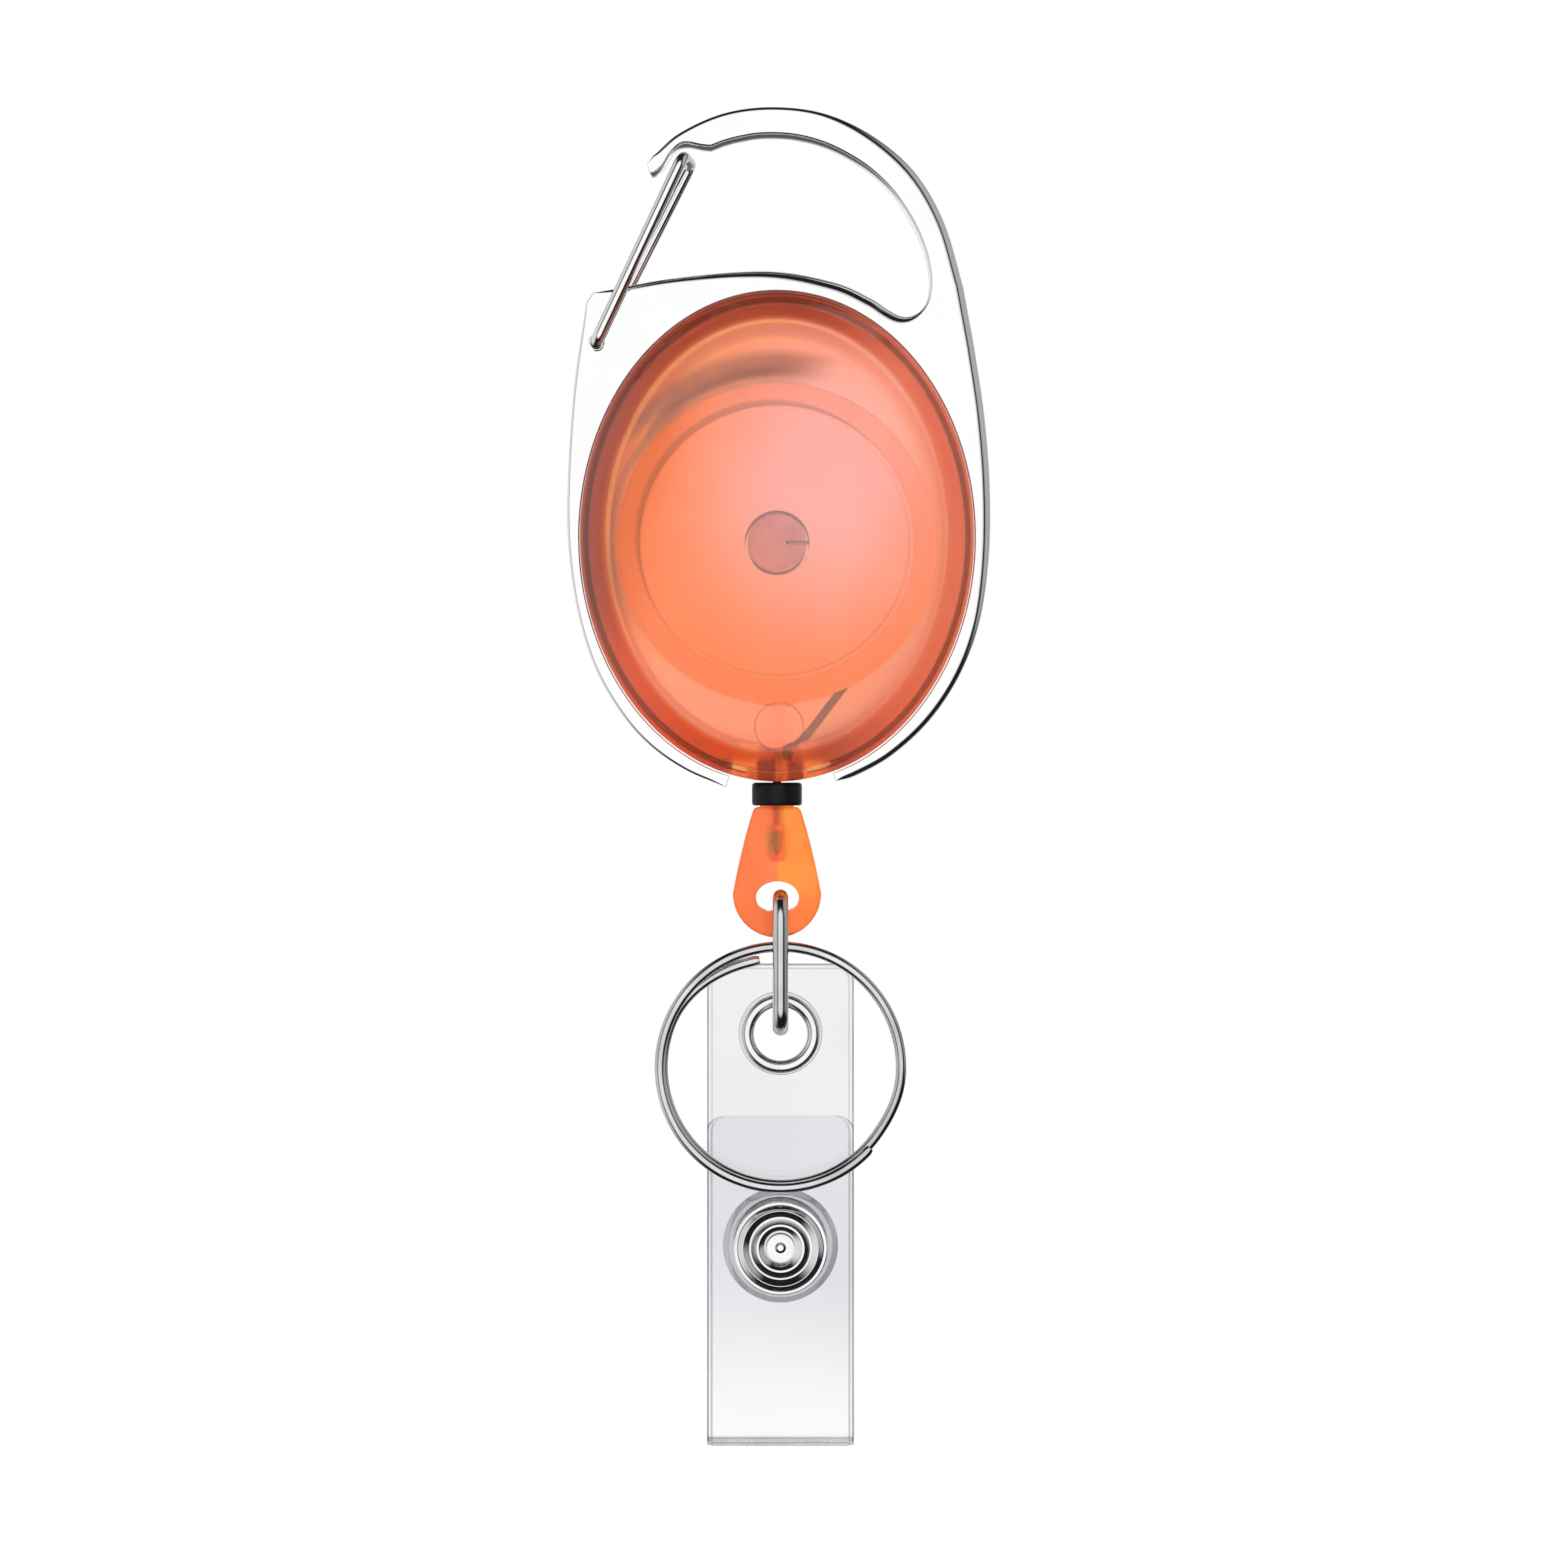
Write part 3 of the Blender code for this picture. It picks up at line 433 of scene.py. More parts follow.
class Shading(Nodes):
    """A material's node tree, with its Principled shader."""

    def __init__(self, name):
        self.material = bpy.data.materials.new(name)
        self.material.use_nodes = True
        super().__init__(self.material.node_tree)
        self.shader = self.tree.nodes["Principled BSDF"]
        self.output = self.tree.nodes["Material Output"]
        self.place = self.add("ShaderNodeTexCoord").outputs["Object"]

    def constant(self, **values):
        """Constant values on the Principled shader's own sockets."""
        for key, value in values.items():
            self.shader.inputs[key.replace("_", " ").title().replace("Ior", "IOR")].default_value = value

    def mapped(self, scale, shift=(0.0, 0.0, 0.0)):
        """The place on the object, scaled along the axes and then shifted."""
        mapping = self.add("ShaderNodeMapping")
        mapping.inputs["Scale"].default_value = scale
        mapping.inputs["Location"].default_value = shift
        self.link(self.place, mapping.inputs["Vector"])
        return mapping.outputs["Vector"]

    def noise(self, scale, detail=3.0, stretch=(1.0, 1.0, 1.0), rough=0.5):
        """Noise whose scale is in patches per metre, stretched along the axes."""
        noise = self.add("ShaderNodeTexNoise")
        noise.inputs["Scale"].default_value = scale
        noise.inputs["Detail"].default_value = detail
        noise.inputs["Roughness"].default_value = rough
        self.link(self.mapped(stretch), noise.inputs["Vector"])
        return noise.outputs["Fac"]

    def ramp(self, source, *stops):
        """A colour ramp; each stop is (position, colour)."""
        ramp = self.add("ShaderNodeValToRGB")
        elements = ramp.color_ramp.elements
        while len(elements) < len(stops):
            elements.new(0.5)
        for element, (position, colour) in zip(elements, stops):
            element.position = position
            element.color = (*colour, 1.0)
        self.link(source, ramp.inputs["Fac"])
        return ramp.outputs["Color"]

    def shades(self, source, dark, light):
        """Two shades of a colour, spread by a noise."""
        return self.ramp(source, (0.3, dark), (0.7, light))

    def off(self, x, z, reach_x, reach_z):
        """Place and distance from (x, z) in millimetres, in units of the two reaches."""
        shift = (-x / reach_x, 0.0, -(z + MIDDLE_Z) / reach_z)
        where = self.mapped((1 / (reach_x * MM), 0.0, 1 / (reach_z * MM)), shift)
        length = self.add("ShaderNodeVectorMath", operation="LENGTH")
        self.link(where, length.inputs[0])
        return where, length.outputs["Value"]

    def toward(self, place, x, z, start, full, top=1.0):
        """A value that rises to top as a place lies further along (x, z) across the front."""
        return self.span(self.dot(place, (x, 0.0, z)), 0.0, top, start, full)

    def bump(self, height, strength, distance, under=None):
        """Bump whose distance is in metres, on top of another bump if given."""
        node = self.add("ShaderNodeBump")
        node.inputs["Strength"].default_value = strength
        node.inputs["Distance"].default_value = distance
        self.link(height, node.inputs["Height"])
        if under is not None:
            self.link(under, node.inputs["Normal"])
        self.link(node.outputs["Normal"], self.shader.inputs["Normal"])
        return node.outputs["Normal"]

    def blend(self, factor, first, second):
        """Two colours mixed by a factor."""
        mix = self.add("ShaderNodeMix", data_type="RGBA")
        self.link(factor, mix.inputs["Factor"])
        self.link(first, mix.inputs[6])
        self.link(second, mix.inputs[7])
        return mix.outputs[2]

    def colour(self, source):
        """Drive the base colour."""
        self.link(source, self.shader.inputs["Base Color"])

    def roughness(self, source):
        """Drive the roughness."""
        self.link(source, self.shader.inputs["Roughness"])

    def lamps_pass(self, tint):
        """Let lamps through a see-through surface, tinted, so that what it shuts in is lit."""
        path = self.add("ShaderNodeLightPath")
        clear = self.add("ShaderNodeBsdfTransparent")
        clear.inputs["Color"].default_value = (*tint, 1.0)
        mix = self.add("ShaderNodeMixShader")
        self.link(path.outputs["Is Shadow Ray"], mix.inputs["Fac"])
        self.link(self.shader.outputs["BSDF"], mix.inputs[1])
        self.link(clear.outputs["BSDF"], mix.inputs[2])
        self.link(mix.outputs["Shader"], self.output.inputs["Surface"])


def bright_metal(name, light, dark, smooth, rough, grain=900.0):
    """Plated metal: faint cloudiness, fine handling marks and softly uneven polish."""
    s = Shading(name)
    s.constant(metallic=1.0)
    s.colour(s.shades(s.noise(140.0, 4.0), dark, light))
    s.roughness(s.span(s.noise(grain, 5.0, rough=0.65), smooth, rough))
    wave = s.bump(s.noise(90.0, 2.0), 0.12, 0.0006)
    s.bump(s.noise(2600.0, 3.0, (1.0, 1.0, 0.18)), 0.05, 0.00005, wave)
    return s.material


def guide_ribs(s):
    """The cord guide's ribs: dark blocks and bright gaps along x in millimetres, brown outside."""
    brown, dark, bright = (0.68, 0.25, 0.16), (0.60, 0.24, 0.16), (1.0, 0.44, 0.18)
    reach = 8.0
    blocks = [(-5.9, brown), (-5.6, dark), (-4.7, dark), (-4.4, bright), (-2.1, bright)]
    blocks += [(-1.8, dark), (-0.3, dark), (0.0, bright), (0.9, bright), (1.2, dark), (2.4, dark)]
    blocks += [(2.8, bright), (4.2, bright), (5.4, brown)]
    where = s.add("ShaderNodeMapRange")
    where.inputs["From Min"].default_value = -reach
    where.inputs["From Max"].default_value = reach
    s.link(s.dot(s.place, (1 / MM, 0.0, 0.0)), where.inputs["Value"])
    return s.ramp(where.outputs["Result"], *(((x + reach) / (2 * reach), colour) for x, colour in blocks))


def orange_shell():
    """Translucent moulded plastic: pink painted light where the light falls on the face, amber round it,
    the reel's painted shadow and painted shade, a painted highlight at the face's edge, brown at the rim
    partly as painted shade, with the moulding's fine lines and the cord guide's ribs."""
    s = Shading("orange_shell")
    s.constant(transmission_weight=0.86, ior=1.46)
    cloud = s.noise(60.0, 3.0, (1.0, 1.0, 0.6))
    amber = s.shades(cloud, (1.0, 0.465, 0.22), (1.0, 0.52, 0.28))
    shaded_amber = s.shades(cloud, (0.88, 0.37, 0.14), (0.94, 0.41, 0.17))
    lit_pink = s.shades(cloud, (1.0, 0.71, 0.70), (1.0, 0.77, 0.79))
    shadow = s.shades(s.noise(300.0, 4.0), (0.52, 0.29, 0.22), (0.68, 0.38, 0.28))
    highlight_line = s.shades(cloud, (1.0, 0.58, 0.27), (1.0, 0.63, 0.33))
    brown = s.shades(cloud, (0.61, 0.21, 0.13), (0.69, 0.26, 0.17))
    rim_red_shade = s.shades(cloud, (0.88, 0.25, 0.10), (0.94, 0.29, 0.13))
    rim_lit_russet = s.shades(cloud, (0.90, 0.36, 0.23), (0.97, 0.43, 0.29))
    line = s.shades(cloud, (0.70, 0.22, 0.13), (0.76, 0.27, 0.17))
    ribs = guide_ribs(s)

    # where on the face: within the oval, on the wheel behind it, in the painted pool of light and round the
    # boss
    oval_place, reach = s.off(0.0, 0.0, FACE_X, FACE_Z)
    wheel_place, wheel = s.off(*AXIS, FLANGE_R, FLANGE_R)
    glow = s.off(4.5, 5.5, FACE_X, FACE_Z)[1]
    boss = s.off(0.2, -18.95, 1.0, 1.0)[1]

    # on the wheel: where its painted light, painted shade and painted shadow fall
    outside = s.span(wheel, 0.0, 1.0, 0.98, 1.03)
    inside_left = s.band(wheel, 0.6, 0.9, 0.98, 1.02)
    gap = s.band(wheel, 0.985, 1.01, 1.03, 1.07, 0.8)
    spool_shadow_band = s.band(wheel, 1.0, 1.05, 1.13, 1.22)
    beneath = s.toward(wheel_place, 0.1, -1.0, 0.2, 0.8, 0.3)
    leftmost = s.toward(wheel_place, -0.97, 0.24, 0.6, 0.95)
    above = s.toward(wheel_place, -0.34, 0.94, 0.86, 1.02)
    upper_left = s.toward(wheel_place, -0.8, 0.6, 0.5, 0.95)

    # on the shell itself: the boss's line, the painted highlight at the face's edge and the rim's painted
    # shade
    circle = s.band(boss, 2.32, 2.38, 2.44, 2.52, 0.6)
    edge = s.band(reach, 0.955, 0.968, 0.982, 0.995, 0.9)
    lower_right = s.toward(oval_place, 0.8, -0.6, 0.1, 0.7, 0.65)
    lower_left = s.toward(oval_place, -0.45, -0.9, 0.7, 0.95, 0.8)
    rightward = s.toward(oval_place, 1.0, 0.0, 0.1, 0.8)
    soft_rim = s.math("MULTIPLY", s.span(reach, 0.0, 1.0, 0.91, 1.02), lower_right)
    rim = s.math("MAXIMUM", s.span(reach, 0.0, 1.0, 0.985, 1.012), soft_rim)
    low = s.span(s.dot(s.place, (0.0, 0.0, 1 / MM)), 1.0, 0.0, MIDDLE_Z - 22.4, MIDDLE_Z - 21.8)

    # painted light: pink where the light falls on the face, amber away from it, and pink again below the
    # wheel
    tone = s.blend(s.span(glow, 1.0, 0.0, 0.15, 1.05), amber, lit_pink)
    tone = s.blend(s.math("MULTIPLY", outside, beneath), tone, lit_pink)
    # painted shade: darker amber inside the wheel's left edge, away from the light
    tone = s.blend(s.math("MULTIPLY", inside_left, leftmost), tone, shaded_amber)
    # painted shadow of the reel: a thin band along the wheel's left edge, and a crescent above it to the
    # upper left
    tone = s.blend(s.math("MULTIPLY", gap, leftmost), tone, shadow)
    tone = s.blend(s.math("MULTIPLY", spool_shadow_band, above), tone, shadow)
    tone = s.blend(circle, tone, line)
    # painted highlight: a bright thin orange line along the face's edge, at the upper left
    tone = s.blend(s.math("MULTIPLY", edge, upper_left), tone, highlight_line)
    # the rim: darker brown, partly thicker plastic and partly painted shade; redder at the lower left, and
    # painted lighter towards the right and lower right
    tone = s.blend(rim, tone, s.blend(lower_left, s.blend(rightward, brown, rim_lit_russet), rim_red_shade))
    s.colour(s.blend(s.math("MULTIPLY", low, rim), tone, ribs))
    s.roughness(s.span(s.noise(420.0, 3.0), 0.05, 0.12))
    flow = s.bump(s.noise(60.0, 2.0, (1.0, 1.0, 0.5)), 0.10, 0.0006)
    s.bump(s.noise(2200.0, 2.0), 0.06, 0.00006, flow)
    s.lamps_pass((1.0, 0.62, 0.5))
    return s.material


def tab_plastic():
    """The tab's thicker plastic, cloudier inside: its left half is a redder orange than its right, with
    the knot's shadow painted grey-brown on the left half and a dark parting line.
    """
    s = Shading("orange_tab")
    s.constant(transmission_weight=0.72, ior=1.46)
    cloud = s.noise(240.0, 3.0)
    red = s.shades(cloud, (1.0, 0.20, 0.045), (1.0, 0.26, 0.075))
    yellow = s.shades(cloud, (1.0, 0.29, 0.03), (1.0, 0.37, 0.05))
    deep = s.shades(cloud, (1.0, 0.17, 0.03), (1.0, 0.23, 0.05))
    knot_shadow_and_parting_line = s.shades(cloud, (0.56, 0.30, 0.09), (0.66, 0.36, 0.12))
    across = s.toward(s.place, 1 / MM, 0.0, -0.05, 0.15)
    foot = s.span(s.dot(s.place, (0.0, 0.0, 1 / MM)), 0.8, 0.0, MIDDLE_Z - 38.0, MIDDLE_Z - 34.0)
    tone = s.blend(foot, s.blend(across, red, yellow), deep)
    # painted shadow of the knot inside, grey-brown on the left half; the dark parting line below is the
    # moulding's own
    knot = s.span(s.off(-0.55, KNOT_Z, 0.85, 2.1)[1], 0.8, 0.0, 0.45, 1.0)
    tone = s.blend(s.math("MULTIPLY", knot, s.span(across, 1.0, 0.0, 0.0, 1.0)), tone, knot_shadow_and_parting_line)
    parting = s.span(s.off(0.0, -31.0, 0.1, 3.6)[1], 0.45, 0.0, 0.5, 1.0)
    s.colour(s.blend(parting, tone, knot_shadow_and_parting_line))
    s.roughness(s.span(s.noise(700.0, 3.0), 0.14, 0.24))
    s.bump(s.noise(900.0, 3.0), 0.06, 0.00008)
    s.lamps_pass((1.0, 0.45, 0.2))
    return s.material


def moulded(name, light, dark, smooth, rough, pit=1800.0, strength=0.08, gloss=0.5):
    """Opaque moulded plastic with a faint grain and slight shade changes."""
    s = Shading(name)
    s.constant(specular_ior_level=gloss)
    s.colour(s.shades(s.noise(160.0, 4.0), dark, light))
    s.roughness(s.span(s.noise(500.0, 4.0), smooth, rough))
    s.bump(s.noise(pit, 3.0), strength, 0.0001)
    return s.material


def reel_plastic():
    """The reel's pale plastic, brighter where the cover closes it than on its flange, which is painted in
    shade.
    """
    s = Shading("reel_plastic")
    radius = s.off(*AXIS, 1.0, 1.0)[1]
    cloud = s.noise(160.0, 4.0)
    flange = s.shades(cloud, (0.84, 0.71, 0.58), (0.90, 0.78, 0.66))
    disc = s.shades(cloud, (0.86, 0.83, 0.82), (0.93, 0.90, 0.89))
    # painted shade: the flange, set deeper than the cover, darker and browner
    s.colour(s.blend(s.span(radius, 0.0, 1.0, COVER_R - 0.15, COVER_R + 0.1), disc, flange))
    s.roughness(s.span(s.noise(500.0, 4.0), 0.35, 0.5))
    s.bump(s.noise(1800.0, 3.0), 0.08, 0.0001)
    return s.material


def braided_cord():
    """Fine black nylon braid: crossing strands, with a soft sheen."""
    s = Shading("braided_cord")
    s.constant(sheen_weight=0.25, sheen_roughness=0.5)
    strands = []
    for slant in ((1.0, 1.0, 1.0), (-1.0, 1.0, 1.0)):
        wave = s.add("ShaderNodeTexWave", bands_direction="DIAGONAL")
        wave.inputs["Scale"].default_value = 700.0
        wave.inputs["Distortion"].default_value = 0.6
        s.link(s.mapped(slant), wave.inputs["Vector"])
        strands.append(wave.outputs["Fac"])
    weave = s.math("MAXIMUM", *strands)
    s.colour(s.ramp(weave, (0.2, (0.006, 0.006, 0.007)), (0.9, (0.035, 0.034, 0.036))))
    s.roughness(s.span(s.noise(1500.0), 0.55, 0.8))
    s.bump(weave, 0.5, 0.00006)
    return s.material


def clear_vinyl():
    """Clear flexible vinyl: long faint ripples, fine haze, and painted grey shade where it is cut and
    creased, standing in for the light that its edges and fold bend away.
    """
    s = Shading("clear_vinyl")
    s.constant(transmission_weight=1.0, ior=1.18, coat_weight=0.6, coat_roughness=0.04)
    flat = s.add("ShaderNodeUVMap", uv_map="flat").outputs["UV"]
    edge = s.math("MINIMUM", s.dot(flat, (1.0, 0.0, 0.0)), s.dot(flat, (0.0, 1.0, 0.0)))
    cloud = s.noise(70.0, 3.0)
    haze = s.shades(cloud, (0.865, 0.865, 0.885), (0.89, 0.89, 0.91))
    clear = s.shades(cloud, (0.98, 0.98, 0.985), (1.0, 1.0, 1.0))
    grey = s.shades(s.noise(200.0, 2.0), (0.30, 0.31, 0.33), (0.46, 0.47, 0.49))
    foot = MIDDLE_Z + FOLD_TURN_Z
    up = s.dot(s.place, (0.0, 0.0, 1 / MM))
    body = s.blend(s.span(up, 0.0, 1.0, foot, foot + 18.0), clear, haze)
    bottom = foot - FOLD_R - STRAP_THICK / 2
    # painted shade: a grey line along the fold's crease
    crease_shade = s.band(up, bottom + 0.3, bottom + 0.45, bottom + 0.6, bottom + 0.8, 0.9)
    body = s.blend(crease_shade, body, grey)
    # painted shade: grey along the cut edges, with a fainter grey line just inside them
    inner_edge_shade = s.band(edge, 0.38, 0.46, 0.52, 0.62, 0.45)
    body = s.blend(inner_edge_shade, body, grey)
    s.colour(s.blend(s.span(edge, 1.0, 0.0, 0.12, 0.22), body, grey))
    s.roughness(s.span(s.noise(300.0, 3.0), 0.02, 0.12))
    ripple = s.bump(s.noise(130.0, 2.0, (1.0, 1.0, 0.35)), 0.10, 0.0005)
    s.bump(s.noise(1100.0, 2.0), 0.04, 0.00004, ripple)
    s.lamps_pass((0.95, 0.96, 0.97))
    return s.material


# ---------------------------------------------------------------- carabiner


def frame_outline():
    """The plate's edge as (x, z, rounding): arms, web, inside of the hook, nose, crown and clasp."""
    left = [(-5.1, -24.9), (-9.1, -23.2), (-12.7, -20.7), (-15.6, -17.4), (-18.2, -12.8), (-19.9, -7.2)]
    left += [(-20.8, -0.5), (-20.8, 6.5), (-20.2, 15.0), (-19.0, 23.3)]
    web = [(-18.3, 24.3), (-10.4, 25.8), (-1.0, 26.55), (5.6, 25.5), (9.3, 23.9), (11.0, 22.8)]
    pit = [(12.2, 22.15), (13.2, 22.0), (14.2, 22.45), (14.9, 23.4), (15.2, 24.8), (15.2, 26.2)]
    hook_back = [(14.7, 28.6), (13.5, 31.4), (11.6, 34.3), (9.4, 36.5), (7.0, 38.1), (4.4, 39.3)]
    hook_back += [(1.5, 40.0), (-1.5, 40.1), (-3.8, 39.75), (-5.3, 39.35)]
    nose = [(-6.6, 38.85), (-7.6, 38.95), (-9.3, 39.2), (-10.5, 38.3), (-11.4, 36.9), (-12.5, 36.25)]
    nose += [(-12.95, 37.1)]
    crown = [(-12.4, 37.9), (-9.8, 40.2), (-5.4, 42.2), (-0.5, 42.85), (4.8, 42.2), (9.7, 39.95)]
    crown += [(13.8, 36.4), (16.7, 31.4), (18.6, 25.0)]
    right = [(19.7, 19.0), (20.7, 12.2), (21.25, 5.0), (21.15, -2.0), (20.2, -8.5), (18.2, -13.8)]
    right += [(15.2, -18.3), (11.4, -21.8), (7.8, -23.8), (5.9, -24.3)]
    outline = [(x, z, 0.3) for x, z in smooth_path(left, 8)]
    for x, z in smooth_path(web + pit + hook_back, 8):
        shoulder = 0.6 + 0.55 * eased((x + 12.0) / 20.0) - 0.85 * eased((x - 11.5) / 3.2)
        outline.append((x, z, shoulder if z < 27.0 else 0.3))
    outline += [(x, z, 0.3) for x, z in smooth_path(nose, 4)]
    outline += [(x, z, 0.4 + 0.65 * eased((x - 2.0) / 12.0)) for x, z in smooth_path(crown, 8)]
    outline += [(x, z, 1.05 - 0.35 * eased((4.0 - z) / 20.0)) for x, z in smooth_path(right, 8)]
    return outline + [(x, z, 0.12) for x, z in arc((0.0, 0.0), CLASP_X, CLASP_Z, -73.5, 256.0, 150)]


def carabiner_frame(mat):
    """Plate with well rounded outer edges, nearly square inner ones, and the tongue the shells grip."""
    obj = as_object("carabiner_frame_fine", rounded_plate(frame_outline(), PLATE_HALF), 50)
    outer = arc((0.0, 0.0), CLASP_X + 0.3, CLASP_Z + 0.3, -72.0, 254.0, 120)
    inner = arc((0.0, 0.0), CLASP_X - TONGUE_DEPTH, CLASP_Z - TONGUE_DEPTH, 254.0, -72.0, 120)
    tongue = as_object("tongue", plate(outer + inner, -TONGUE_HALF, TONGUE_HALF))
    carve(obj, "UNION", tongue)
    carve(obj, "DIFFERENCE", drill(GATE_PIVOT, 0.85, -PLATE_HALF - 1, PLATE_HALF + 1), sharp=50)
    return finish_piece(obj, "housing", "chrome_frame", mat, "carabiner_frame")


def wire_gate(mat):
    """One bent spring wire: ends turned into the pivot hole, legs either side, bar across the top."""
    px, pz = GATE_PIVOT
    tx, tz = GATE_TOP
    corners = [(px, -0.7, pz), (px, -GATE_LEG_Y, pz), (tx, -GATE_LEG_Y, tz)]
    corners += [(tx + GATE_REAR_SHIFT, GATE_LEG_Y, tz), (px, GATE_LEG_Y, pz), (px, 0.7, pz)]
    mesh = tube_mesh("wire_gate_fine", rounded_corners(corners, 1.1, 8), GATE_WIRE, sides=7)
    return piece("wire_gate", mesh, "gate", "plated_steel", mat, 60)


# ---------------------------------------------------------------- housing


def oval(half_x, half_z, y):
    """A ring of points on an oval about the housing's middle, at one depth."""
    steps = 160
    return [(x, y, z) for x, z in arc((0.0, 0.0), half_x, half_z, 0.0, 360.0 - 360.0 / steps, steps - 1)]


def shell(node, sign, mat):
    """Half of the housing. Its rings, each (distance past the face's oval, depth), run from the
    middle of the face over the rim and back inside."""
    outside = [(-9.0, FACE_Y), (-1.4, FACE_Y), (-0.35, FACE_Y), (-0.1, FACE_Y - 0.04), (0.1, FACE_Y - 0.17)]
    slope = [(0.1 + 2.3 * t, FACE_Y - 0.17 - 2.75 * t**1.35) for t in (0.1, 0.3, 0.5, 0.7, 0.85, 1.0)]
    skirt = [(2.5, WAIST_Y - 0.2), (2.5, RIM_Y + 0.12), (2.38, RIM_Y), (1.42, RIM_Y), (1.3, RIM_Y + 0.12)]
    inside_y, tall = FACE_Y - WALL, 1.12
    inside = [(1.3, WAIST_Y - 0.6), (1.0, WAIST_Y + 0.1), (-0.5, inside_y - 0.15), (-0.9, inside_y)]
    rings = [oval(FACE_X + d, FACE_Z + d * tall, sign * y) for d, y in outside + slope + skirt + inside]
    rings.append(oval(FACE_X - 9.0, FACE_Z - 9.0, sign * inside_y))
    obj = as_object(node + "_fine", loft(rings), 50)
    notch = block((-NOTCH_X, NOTCH_X), sorted((0.0, sign * NOTCH_Y)), (-26.0, -21.0))
    carve(obj, "DIFFERENCE", notch, sharp=50)
    if sign > 0:
        carve(obj, "DIFFERENCE", drill(AXIS, 1.8, 3.0, FACE_Y - 0.5), sharp=50)
    # the front boss has a pin, and the rear boss a socket for it
    foot, tip = sign * (FACE_Y - 0.4), sign * 0.15
    pin_r, pin_y = (1.2, 2.2) if sign < 0 else (1.5, 2.7)
    profile = [(0.0, foot), (BOSS_R, foot), (BOSS_R, tip), (pin_r, tip), (pin_r, pin_y), (0.0, pin_y)]
    carve(obj, "UNION", as_object("boss", turned(profile, BOSS_CENTRE, 64)), sharp=50)
    return finish_piece(obj, "housing", "orange_shell", mat, node)


def cord_guide(mat):
    """Exit bushing with a flared bore, and thin wings between the shells' rims."""
    outer = arc((0.0, 0.0), WAIST_X - 0.1, WAIST_Z - 0.1, 256.0, 284.0, 40)
    inner = arc((0.0, 0.0), WAIST_X - WALL, WAIST_Z - WALL, 284.0, 256.0, 40)
    obj = as_object("cord_guide_fine", plate(outer + inner, -0.6, 0.6))
    corners = [(-2.3, -24.2), (2.3, -24.2), (2.5, -23.9), (2.5, -22.9), (1.7, -21.9)]
    corners += [(-1.7, -21.9), (-2.5, -22.9), (-2.5, -23.9)]
    carve(obj, "UNION", as_object("bush", plate(corners, -1.7, 1.7)))
    bore = [(0.0, -26.0), (0.75, -26.0), (0.75, -23.2), (1.1, -22.3), (1.5, -21.5), (0.0, -21.5)]
    carve(obj, "DIFFERENCE", as_object("bore", upright(bore, 48)))
    return finish_piece(obj, "housing", "orange_shell", mat, "cord_guide")


# ---------------------------------------------------------------- reel


def axle_post(mat):
    """Post with rounded ends and the slot for the mainspring's tang."""
    half, end, tenon = 4.1, 4.9, 1.72
    profile = [(0.0, -half), (AXLE_R - 0.2, -half), (AXLE_R, -half + 0.2), (AXLE_R, half - 0.2)]
    profile += [(AXLE_R - 0.2, half), (tenon, half), (tenon, end - 0.15), (tenon - 0.15, end), (0.0, end)]
    obj = as_object("axle_post_fine", turned(profile, AXIS, 72))
    carve(obj, "DIFFERENCE", block((0.9, 4.0), (-6.0, 2.6), (AXIS[1] - 0.2, AXIS[1] + 0.2)))
    return finish_piece(obj, "housing", "axle_metal", mat, "axle_post")


def spool(mat):
    """The drum with its two flanges, edges softened."""
    bearing, inside = AXLE_R + 0.3, DRUM_R - 0.9
    profile = [(FLANGE_R, -3.0), (FLANGE_R, -2.4), (DRUM_R, -2.4), (DRUM_R, 2.8), (FLANGE_R, 2.8)]
    profile += [(FLANGE_R, 3.4), (4.6, 3.4), (4.6, 4.0), (bearing, 4.0), (bearing, 2.8), (inside, 2.8)]
    profile += [(inside, -3.0)]
    return piece("spool", turned(softened(profile), AXIS, 160), "reel", "reel_plastic", mat)


def spool_cover(mat):
    """Disc over the spring, with a raised lip round its edge."""
    bearing = AXLE_R + 0.3
    profile = [(bearing, -3.25), (bearing, -3.85), (COVER_R - 0.55, -3.85), (COVER_R - 0.4, -4.1)]
    profile += [(COVER_R, -4.1), (COVER_R, -3.25)]
    return piece("spool_cover", turned(softened(profile, 0.08), AXIS, 160), "reel", "reel_plastic", mat)


def wound_cord(mat):
    """Ten turns of cord in two layers of five, as one tube that winds out and back."""
    turns, steps = 5, 60
    width, start_y, gap = 4.4, -1.95, 0.2
    pitch = width / turns
    points = []
    for layer, radius in ((0, DRUM_R + gap + CORD_R), (1, DRUM_R + gap + CORD_R * 2.75)):
        for i in range(turns * steps):
            along = i / steps if layer == 0 else turns - i / steps
            angle = 2 * pi * (layer * turns + i / steps)
            y = start_y + pitch * (0.1 + along * 0.96)
            points.append((AXIS[0] + radius * cos(angle), y, AXIS[1] + radius * sin(angle)))
    mesh = tube_mesh("wound_cord_fine", points, CORD_R * 0.95, sides=3)
    return piece("wound_cord", mesh, "reel", "black_cord", mat)


def cord_tail(mat):
    """The cord from the winding to its knot."""
    bend = [(7.7, -13.9), (5.2, -17.2), (3.2, -19.8), (1.45, -21.3), (0.4, -22.3), (0.0, -23.7)]
    straight = [(0.0, z) for z in (-24.1, -24.35, -24.6, -25.2, -26.2, -27.2, -28.45)]
    points = [(x, 0.0, z) for x, z in smooth_path(bend, 8) + straight]
    obj = as_object("cord_tail_fine", tube_mesh("cord_tail_fine", points, CORD_R))
    finish_piece(obj, None, "black_cord", mat, "cord_tail")
    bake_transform(obj)
    return obj


